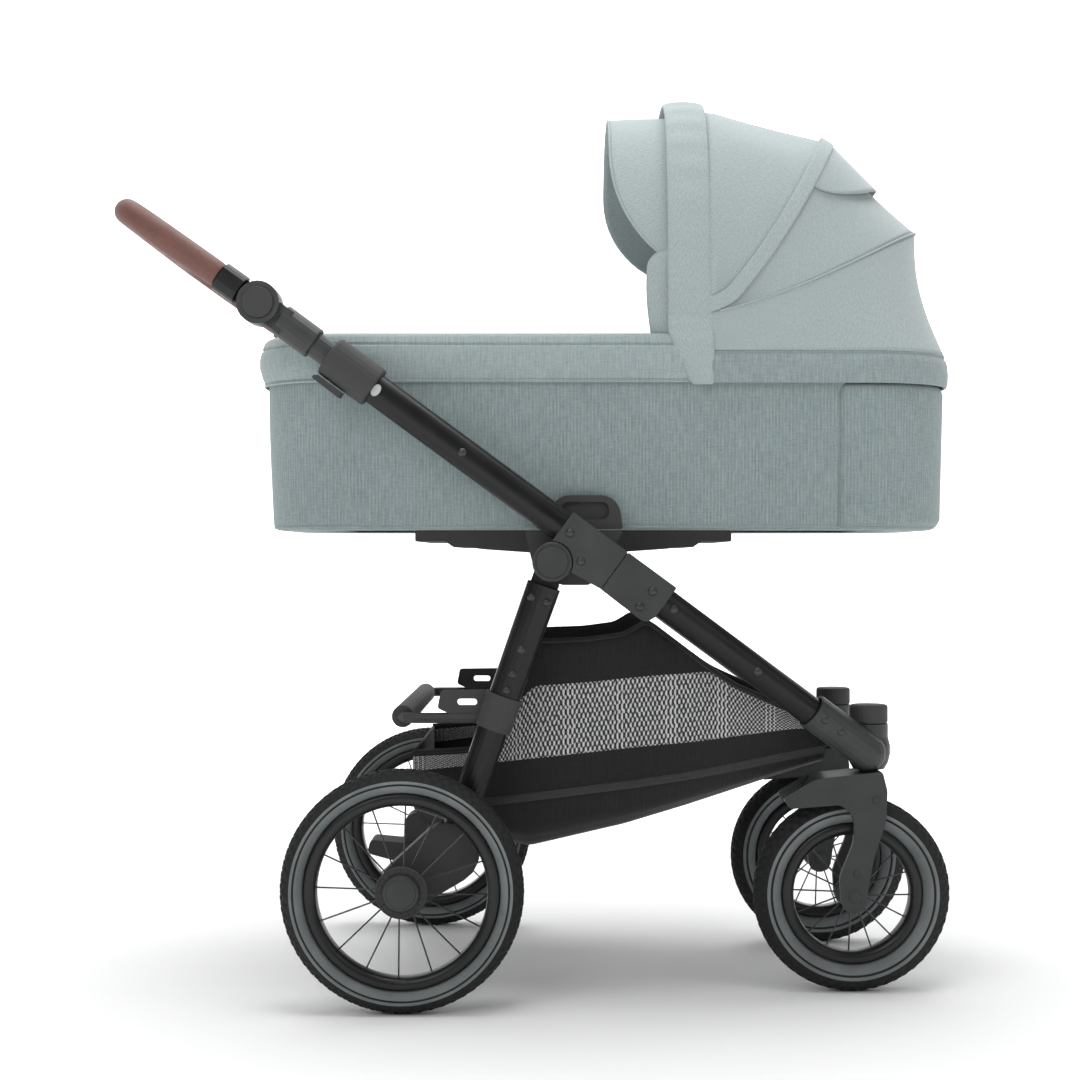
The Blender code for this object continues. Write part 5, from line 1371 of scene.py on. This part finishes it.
        cover[..., 0] = np.minimum(cover[..., 0], limit)
        grid = np.concatenate([edge, cover])
        self.shop.piece(
            "apron_looks",
            Surface(grid, centre=np.array([-0.08, 0, 0.70])),
            Look.CANVAS_SOFT,
            "carrycot",
            "grey_fabric",
            ["apron"],
            wall=0.0035,
        )
        rail = np.concatenate([cover[:, 0], cover[-2::-1, -1]]) + Z_AXIS * 0.0008
        roll = Surface(swept(rail, section(0.0040, 0.0040, 16), Z_AXIS), close_cols=True, caps=True)
        self.shop.piece("apron_edge_roll", roll, Look.CANVAS_TWILL, "carrycot", "grey_fabric")

    def mattress(self) -> None:
        """A soft pad with a rounded edge and a quilted top that rises 3 mm in each of its diamonds."""
        z = self.low[2] + 0.0125
        plan = Plan(self.low[0] + 0.024, self.high[0] - 0.024, self.high[1] - 0.022, 0.078)
        profile = np.array(
            [
                [-0.03, z],
                [-0.006, z],
                [0, z + 0.005],
                [0.002, z + 0.016],
                [0, z + 0.026],
                [-0.006, z + 0.0315],
            ]
        )
        edge = plan.wall(profile)
        last = edge[-1]
        spine = np.stack(
            [np.clip(last[:, 0], self.low[0] + 0.19, self.high[0] - 0.19), 0 * last[:, 0], last[:, 2]], axis=1
        )
        share = np.linspace(0, 1, 22)[1:, None, None]
        cover = last[None] * (1 - share) + spine[None] * share
        a, b = cover[..., 0] + cover[..., 1], cover[..., 0] - cover[..., 1]
        cover[..., 2] += 0.0035 * np.abs(np.sin(a * math.pi / 0.09) * np.sin(b * math.pi / 0.09)) ** 0.6
        grid = Surface(np.concatenate([edge, cover]), close_cols=True, centre=np.array([0.08, 0, z + 0.015]))
        pad = self.shop.piece("mattress_pad", grid, Look.LINING, "carrycot", "lining_fabric", ["mattress"])

    def build(self) -> None:
        """Builds the cot from the outside in."""
        self.walls()
        self.wrap()
        self.apron()
        self.mattress()


# ------------------------------------------------------------------ hood
@dataclass
class Hood:
    """A folding canvas hood on three bows: peak, padded band, two panels, a vent flap and a hemmed back."""

    shop: Shop
    power: float = 2.7
    panel_half_width: float = 0.2085
    band_radius: float = 0.2935
    band_half_width: float = 0.2125
    front: tuple[float, float] = (math.radians(90.0), 0.2813)
    middle: tuple[float, float] = (math.radians(57.0), 0.2876)
    rear: tuple[float, float] = (math.radians(23.7), 0.2995)
    wall: float = 0.003

    def __post_init__(self) -> None:
        """Takes the pivot and the cot's size from the frame."""
        self.pivot = self.shop.layout.hood
        self.low, self.high = self.shop.layout.tub
        self.heart = self.pivot + np.array([0.05, 0, 0.03])
        self.hem_foot = self.high[2] - 0.0450

    def arch(
        self, angle: Union[float, Array], radius: Union[float, Array], half_width: float, turn: Array
    ) -> Array:
        """A rounded arch in the plane through the pivot line that leans by angle.

        Across is -half width * sign(cos) * |cos|^(2/power) and up the plane is radius * sin^(2/power). A
        leaning
        arch drifts back by 12 mm * sin(pi * (up / 0.3)^0.8), and an upright one doesn't.
        """
        power = 2 / self.power
        across = -np.sign(np.cos(turn)) * np.abs(np.cos(turn)) ** power * half_width
        up = np.abs(np.sin(turn)) ** power * radius
        lean = np.clip((math.pi / 2 - angle) / (math.pi / 2 - self.middle[0]), 0.0, 1.0)
        drift = lean * 0.012 * np.sin(math.pi * np.clip(up / 0.30, 0, 1) ** 0.8)
        x = up * np.cos(angle) + drift * np.sin(angle)
        z = up * np.sin(angle) - drift * np.cos(angle)
        return self.pivot + np.stack(np.broadcast_arrays(x, across, z), axis=-1)

    def turns(self, low: float, count: int = 97) -> Array:
        """Evenly spaced places round an arch, from low to pi - low."""
        return np.linspace(low, math.pi - low, count)

    def panel(self, name: str, near: tuple, far: tuple, sag: float, body: tuple, node: str) -> None:
        """Cloth stretched straight from one bow to the next, drawn in a little between them.

        Each row is a share of the way between the two arches, less sag * sin(pi * share) towards the pivot
        line.
        """
        turn = self.turns(0.0005, 121)
        share = np.linspace(0, 1, 21)[:, None, None]
        first = self.arch(near[0], near[1], self.panel_half_width, turn)
        last = self.arch(far[0], far[1], self.panel_half_width, turn)
        grid = first[None] * (1 - share) + last[None] * share
        if near is self.front:
            grid[0] -= X_AXIS * 0.020
        inward = self.pivot - grid
        inward[..., 1] *= 0.25
        inward /= np.linalg.norm(inward, axis=-1, keepdims=True) + 1e-9
        pull = sag * np.sin(math.pi * share[..., 0]) * np.sin(turn)[None] ** 0.5
        fold = 0.0009 * np.sin(math.pi * share[..., 0]) * np.sin(turn * 13)[None]
        grid = grid + inward * (pull + fold)[..., None]
        self.shop.piece(
            name,
            Surface(grid, centre=self.heart),
            Look.CANVAS_TWILL,
            body,
            "grey_fabric",
            [node],
            wall=self.wall,
        )

    def bridge(self, low: str, high: str, first: float, last: float) -> tuple:
        """Two bodies, and two points 30 mm each side of the bisector through the pivot, square to the middle
        of a sector."""
        middle = (first + last) / 2
        across = np.array([-math.sin(middle), 0, math.cos(middle)]) * 0.030
        return (low, high, self.pivot - across, self.pivot + across)

    def band(self) -> None:
        """The padded band: a puffy section carried over the arch. Its front edge draws back below the pivot.
        The padded band: a puffy section carried over the arch. Its front edge draws back below the pivot."""
        turn = self.turns(0.0, 129)
        upper = self.band_rows(
            self.arch(math.pi / 2, self.band_radius - 0.006, self.band_half_width - 0.006, turn)
        )
        band = self.shop.piece(
            "hood_band",
            Surface(upper, close_cols=True, caps=True),
            Look.CANVAS_TWILL,
            "hood_front",
            "grey_fabric",
            ["hood_front_bow"],
            sharp=60,
        )
        for word, side in SIDES.items():
            hidden = self.pivot[2] + np.array([0.020, 0.010, 0.0006])
            z = np.concatenate([hidden, np.linspace(self.pivot[2] + 0.0002, self.hem_foot - 0.0025, 32)])
            y = side * (self.band_half_width - 0.0060 + 0.0055 * smoothstep(self.pivot[2], self.high[2], z))
            path = np.stack([0 * z + self.pivot[0], y, z], axis=1)
            grid = self.band_rows(path, np.where(z > self.pivot[2] + 0.0005, 0.90, 1.0))
            fade = smoothstep(-0.002, 0.006, z - z[-1])[:, None, None]
            middle = grid.mean(axis=1, keepdims=True)
            grid = middle + (grid - middle) * (0.80 + 0.20 * fade)
            self.shop.piece(
                f"hood_band_foot_{word}",
                Surface(grid, close_cols=True, caps=True),
                Look.CANVAS_TWILL,
                "carrycot",
                "grey_fabric",
                sharp=60,
            )

    def band_rows(self, path: Array, size: Union[float, Array] = 1.0) -> Array:
        """The band's section along a path in the pivot's X plane.

        The section is a superellipse 12 mm thick from the front edge to the back edge. Its front edge lies
        0.0575 ahead of the pivot, and draws back to 0.031 at the hem. size
        shrinks the section about its own middle.
        """
        height = path[:, 2] - self.pivot[2]
        front = -0.0580 + 0.0270 * np.clip((-0.0225 - height) / 0.0655, 0, 1) ** 1.2
        back = -0.0010 - 0.0050 * smoothstep(-0.07, 0.09, height)
        tangent = np.gradient(path, axis=0)
        tangent /= np.linalg.norm(tangent, axis=1, keepdims=True)
        out = np.cross(tangent, X_AXIS)
        out *= np.sign((out * (path - self.heart)).sum(axis=1, keepdims=True))
        shape = section(1.0, 0.0066, 36, 2.3)
        size = np.broadcast_to(size, len(path))[:, None]
        half = (back - front) / 2
        middle = (back + front) / 2
        x = middle[:, None] + half[:, None] * shape[None, :, 0] * size
        wrinkle = 0.0006 * np.sin(np.arange(len(path)) * 0.9)[:, None] * np.abs(shape[None, :, 1]) / 0.006
        offset = (shape[None, :, 1] + wrinkle) * size
        return path[:, None] + X_AXIS * x[..., None] + out[:, None] * offset[..., None]

    def tape(self) -> None:
        """The flat tape over the middle bow. Each end bends forwards in a quadratic curve, under the band."""
        turn = self.turns(0.048, 141)
        angle, radius = self.middle
        path = self.arch(angle, radius + 0.0012, self.panel_half_width + 0.0012, turn)
        start = path[0] - self.pivot
        share = np.linspace(0, 1, 9)[:-1, None]
        foot, elbow = np.array([-0.0120, start[1], 0.0060]), np.array([0.0070, start[1], 0.0110])
        hook = self.pivot + foot * (1 - share) ** 2 + elbow * 2 * share * (1 - share) + start * share**2
        path = np.concatenate([hook, path, hook[::-1] * [1, -1, 1]])
        plane = np.array([-math.sin(angle), 0, math.cos(angle)])
        ribbon = swept(path, section(0.0014, 0.0092, 20, 3.5), plane)
        self.shop.piece(
            "hood_middle_tape",
            Surface(ribbon, close_cols=True, caps=True),
            Look.CANVAS_TWILL,
            "hood_middle",
            "grey_fabric",
            sharp=60,
        )

    def seam(self) -> None:
        """Piping along the rear bow's seam."""
        turn = self.turns(0.004, 141)
        angle, radius = self.rear
        path = self.arch(angle, radius + 0.0002, self.panel_half_width + 0.0002, turn)
        plane = np.array([-math.sin(angle), 0, math.cos(angle)])
        cord = Surface(swept(path, section(0.0014, 0.0014, 10), plane), close_cols=True, caps=True)
        self.shop.piece("hood_rear_piping", cord, Look.CANVAS_TWILL, "carrycot", "grey_fabric")

    def flap(self) -> None:
        """The vent flap behind the middle tape: a sheet whose hem curves across the crown.

        It reaches from 57 degrees down to 57 - 19 * (1 - |x|^3.5)^0.6, where x runs from -1 to 1 across it.
        """
        span = np.linspace(-1, 1, 65)
        turn = math.pi / 2 + span * math.radians(52)
        drop = math.radians(18.5) * (1 - np.abs(span) ** 3.5) ** 0.6
        share = np.linspace(0, 1, 13)[:, None]
        top, foot = self.middle, self.rear
        angle = top[0] - share * drop[None]
        sector = (top[0] - angle) / (top[0] - foot[0])
        chord = top[1] * foot[1] * math.sin(top[0] - foot[0])
        radius = chord / (foot[1] * np.sin(angle - foot[0]) + top[1] * np.sin(top[0] - angle))
        radius = radius + 0.0018 + 0.0014 * share * (1 - np.abs(span)[None] ** 3)
        grid = self.arch(angle, radius, self.panel_half_width + 0.002, turn[None] + 0 * sector)
        body = self.bridge("carrycot", "hood_middle", self.rear[0], self.middle[0])
        self.shop.piece(
            "hood_vent_flap", Surface(
                grid, centre=self.heart
            ), Look.CANVAS_TWILL, body, "grey_fabric", wall=0.0022
        )

    def peak(self) -> None:
        """The cloth peak ahead of the band, with a corded edge.

        It reaches 72 mm * (1 - (1 - rise)^2.2)^0.8, where rise goes from 0 at a quarter of the
        height (a little more on the left) to 1 at 77 %.
        """
        turn = self.turns(0.055, 97)
        base = self.arch(math.pi / 2, 0.2725, self.panel_half_width - 0.008, turn)
        height = (base[:, 2] - self.pivot[2]) / 0.2725
        low = 0.25 + 0.12 * smoothstep(-0.05, 0.05, base[:, 1])
        rise = np.clip((height - low) / (0.77 - low), 0.0, 1.0)
        reach = 0.0708 * (1 - (1 - rise) ** 2.2) ** 0.8
        share = np.linspace(0, 1, 15)[:, None]
        grid = np.repeat(base[None], 15, axis=0)
        grid[..., 0] += -0.045 - (reach[None] + 0.012) * share
        grid[..., 2] -= 0.0022 * share**2 * height[None]
        grid[..., 1] *= 1 - 0.03 * share**1.5
        self.shop.piece(
            "hood_peak",
            Surface(grid, centre=self.heart),
            Look.CANVAS_TWILL,
            "hood_front",
            "grey_fabric",
            ["hood_visor"],
            wall=0.003,
        )
        edge = grid[-1]
        cord = Surface(swept(edge, section(0.0013, 0.0013, 10), X_AXIS), close_cols=True, caps=True)
        self.shop.piece("hood_peak_piping", cord, Look.CANVAS_TWILL, "hood_front", "grey_fabric")
        self.wing("right", SIDES["right"])

    def wing(self, word: str, side: int) -> None:
        """A soft wing inside the band's front edge, 25 mm forwards of it, with a round top."""
        share = np.linspace(0.0, 1.0, 31)
        z = self.high[2] + 0.014 + 0.106 * share
        round_top = 1 - np.sqrt(1 - np.clip((z - self.high[2] - 0.098) / 0.0225, 0, 1) ** 2)
        front = self.pivot[0] - 0.0825 + 0.0225 * round_top + 0.003 * (1 - share) - 0.004 * np.sin(
            math.pi
            * share
        )
        across = np.linspace(0, 1, 13)
        x = self.pivot[0] - 0.040 + (front[:, None] - self.pivot[0] + 0.040) * across[None]
        y = side * (self.panel_half_width - 0.008 - 0.010 * across[None] ** 2 + 0 * x)
        grid = np.stack([x, y, np.broadcast_to(z[:, None], x.shape)], axis=-1)
        self.shop.piece(
            f"hood_wing_{word}",
            Surface(grid, centre=self.pivot * [1, 0, 1]),
            Look.CANVAS_TWILL,
            "hood_front",
            "grey_fabric",
            wall=0.009,
            levels=1,
        )

    def back(self) -> None:
        """From the rear bow down to the hem, round the head end of the cot, with a thicker hem band."""
        turn = self.turns(0.0, 145)
        top = self.arch(self.rear[0], self.rear[1] - 0.0008, self.panel_half_width, turn)
        plan = Plan(self.low[0], self.high[0], self.high[1], 0.10, 576)
        ring, normal = plan.points()
        keep = ring[:, 0] > self.pivot[0] - 0.001
        start = int(np.flatnonzero(keep & ~np.roll(keep, 1))[0])
        order = (start + np.arange(int(keep.sum()))) % plan.count
        rim = ring[order] + normal[order] * 0.0068
        if rim[0, 1] > 0:
            rim = rim[::-1]
        marks = np.linspace(0, len(rim) - 1, 145)
        rim = np.stack([np.interp(marks, np.arange(len(rim)), rim[:, k]) for k in range(2)], axis=1)
        base = np.concatenate([rim, np.full((145, 1), self.high[2] - 0.006)], axis=1)
        share = np.linspace(0, 1, 25)[:, None, None]
        grid = top[None] * (1 - share) + base[None] * share
        swell = 0.010 * np.sin(math.pi * share[..., 0]) * smoothstep(0.30, 0.50, grid[..., 0])
        grid[..., 0] -= swell * 0.9
        grid[..., 1] *= 1 + 0.006 * np.sin(math.pi * share[..., 0])
        grid = np.concatenate([grid[:, :1] - X_AXIS * 0.020, grid, grid[:, -1:] - X_AXIS * 0.020], axis=1)
        self.shop.piece(
            "hood_back",
            Surface(grid, centre=self.heart),
            Look.CANVAS_TWILL,
            "carrycot",
            "grey_fabric",
            ["hood_back_panel"],
            wall=self.wall,
        )
        keep_hem = ring[:, 0] > self.pivot[0] - 0.006
        z0 = self.hem_foot - 0.0010
        lines = [0.0050, 0.0072, 0.0092, 0.0106, 0.0110, 0.0104, 0.0090, 0.0068, 0.0060, 0.0066, 0.0056]
        rise = [0.0010, 0.0000, 0.0010, 0.0060, 0.0160, 0.0270, 0.0330, 0.0352, 0.0362, 0.0385, 0.0410]
        hem = plan.wall(np.stack([np.array(lines), z0 + np.array(rise)], axis=1), keep_hem, ripple=0.0003)
        self.shop.piece(
            "hood_hem",
            Surface(hem, centre=np.array([0.1, 0, 0.77])),
            Look.CANVAS_HEM,
            "carrycot",
            "grey_fabric",
            wall=0.0025,
        )

    def build(self) -> None:
        """Builds the hood from front to back."""
        self.band()
        self.peak()
        front_bend = self.bridge("hood_middle", "hood_front", self.middle[0], math.pi / 2)
        rear_bend = self.bridge("carrycot", "hood_middle", self.rear[0], self.middle[0])
        self.panel("hood_front_cloth", self.front, self.middle, 0.0025, front_bend, "hood_front_panel")
        self.panel("hood_rear_cloth", self.middle, self.rear, 0.0065, rear_bend, "hood_rear_panel")
        self.tape()
        self.seam()
        self.flap()
        self.back()


# ------------------------------------------------------------------ studio
@dataclass
class Room:
    """Camera, floor and soft lights."""

    camera_at: tuple[float, float, float] = (0.027, -2.554, 0.541)
    lens_mm: float = 64.0
    shift: tuple[float, float] = (-0.01667, 0.01574)

    def camera(self) -> None:
        """A level camera that looks along +Y."""
        data = bpy.data.cameras.new("camera")
        data.lens, data.sensor_width = self.lens_mm, 36.0
        data.shift_x, data.shift_y = self.shift
        data.clip_end = 60.0
        obj = bpy.data.objects.new("camera", data)
        obj.location = self.camera_at
        obj.rotation_euler = (math.pi / 2, 0, 0)
        bpy.context.scene.collection.objects.link(obj)
        bpy.context.scene.camera = obj

    def floor(self) -> None:
        """A floor that sweeps up into a wall far behind: a quarter circle between two straight runs."""
        turn = np.linspace(0, math.pi / 2, 16)
        y = np.concatenate([[-9.0, -4.0], 6.0 + 3.0 * np.sin(turn), [9.0]])
        z = np.concatenate([[0.0, 0.0], 3.0 - 3.0 * np.cos(turn), [14.0]])
        x = np.linspace(-16, 16, 9)
        grid = np.stack(np.broadcast_arrays(x[None], y[:, None], z[:, None]), axis=-1)
        mesh = mesh_of("studio_floor", [Surface(grid, centre=np.array([0, 4.0, -50.0]))])
        mesh.materials.append(Studio("studio_paper").material())
        mesh.shade_smooth()
        obj = bpy.data.objects.new("studio_floor", mesh)
        bpy.context.scene.collection.objects.link(obj)

    def light(self, name: str, at: Sequence[float], aim: Sequence[float], size: float, power: float) -> None:
        """A square soft light at a place, turned to its aim."""
        data = bpy.data.lights.new(name, "AREA")
        data.size, data.energy = size, power
        obj = bpy.data.objects.new(name, data)
        way = unit(np.array(at, float) - np.array(aim, float))
        obj.location = at
        obj.rotation_euler = (math.acos(way[2]), 0, math.atan2(way[1], way[0]) + math.pi / 2)
        bpy.context.scene.collection.objects.link(obj)

    def build(self) -> None:
        """Sets the room up."""
        self.camera()
        self.floor()
        world = bpy.data.worlds.new("studio")
        world.use_nodes = True
        world.node_tree.nodes["Background"].inputs[0].default_value = (0.97, 0.985, 1.0, 1)
        world.node_tree.nodes["Background"].inputs[1].default_value = 0.22
        bpy.context.scene.world = world
        bpy.context.scene.view_settings.view_transform = "Standard"
        self.light("key", (-1.4, -2.8, 2.6), (0.0, 0.0, 0.5), 2.0, 33)
        self.light("fill", (2.4, -2.0, 2.2), (0.1, 0.0, 0.5), 2.0, 12)
        self.light("top", (0.1, 0.1, 3.2), (0.0, 0.0, 0.0), 2.4, 88)


# ------------------------------------------------------------------ the stroller
def build_wheels(shop: Shop) -> None:
    """The four wheels, each on its own body."""
    layout = shop.layout
    for word, side in SIDES.items():
        Wheel(
            shop,
            f"rear_{word}",
            f"rear_wheel_{word}",
            layout.rear_hub * [1, side, 1],
            side,
            0.145,
            0.029,
            0.0205,
            0.024,
            (f"rear_tyre_{word}", f"rear_wheel_{word}", f"hub_cap_{word}"),
            True,
        ).build()
        Wheel(
            shop,
            f"front_{word}",
            f"front_wheel_{word}",
            layout.front_hub * [1, side, 1],
            side,
            0.1225,
            0.0355,
            0.0185,
            0.0245,
            (f"front_tyre_{word}", f"front_wheel_{word}"),
            False,
        ).build()


def main() -> None:
    """Loads the frame, builds every piece over it and logs how many pieces were made."""
    logging.basicConfig(level=logging.INFO, format="%(message)s")
    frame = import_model()
    layout = Layout.read(frame)
    shop = Shop(layout)
    Room().build()
    build_wheels(shop)
    SideFrames(shop).build()
    Grip(shop).build()
    Basket(shop).build()
    Carrycot(shop).build()
    Hood(shop).build()
    LOG.info("%d pieces made", len(shop.made))


if __name__ == "__main__":
    main()
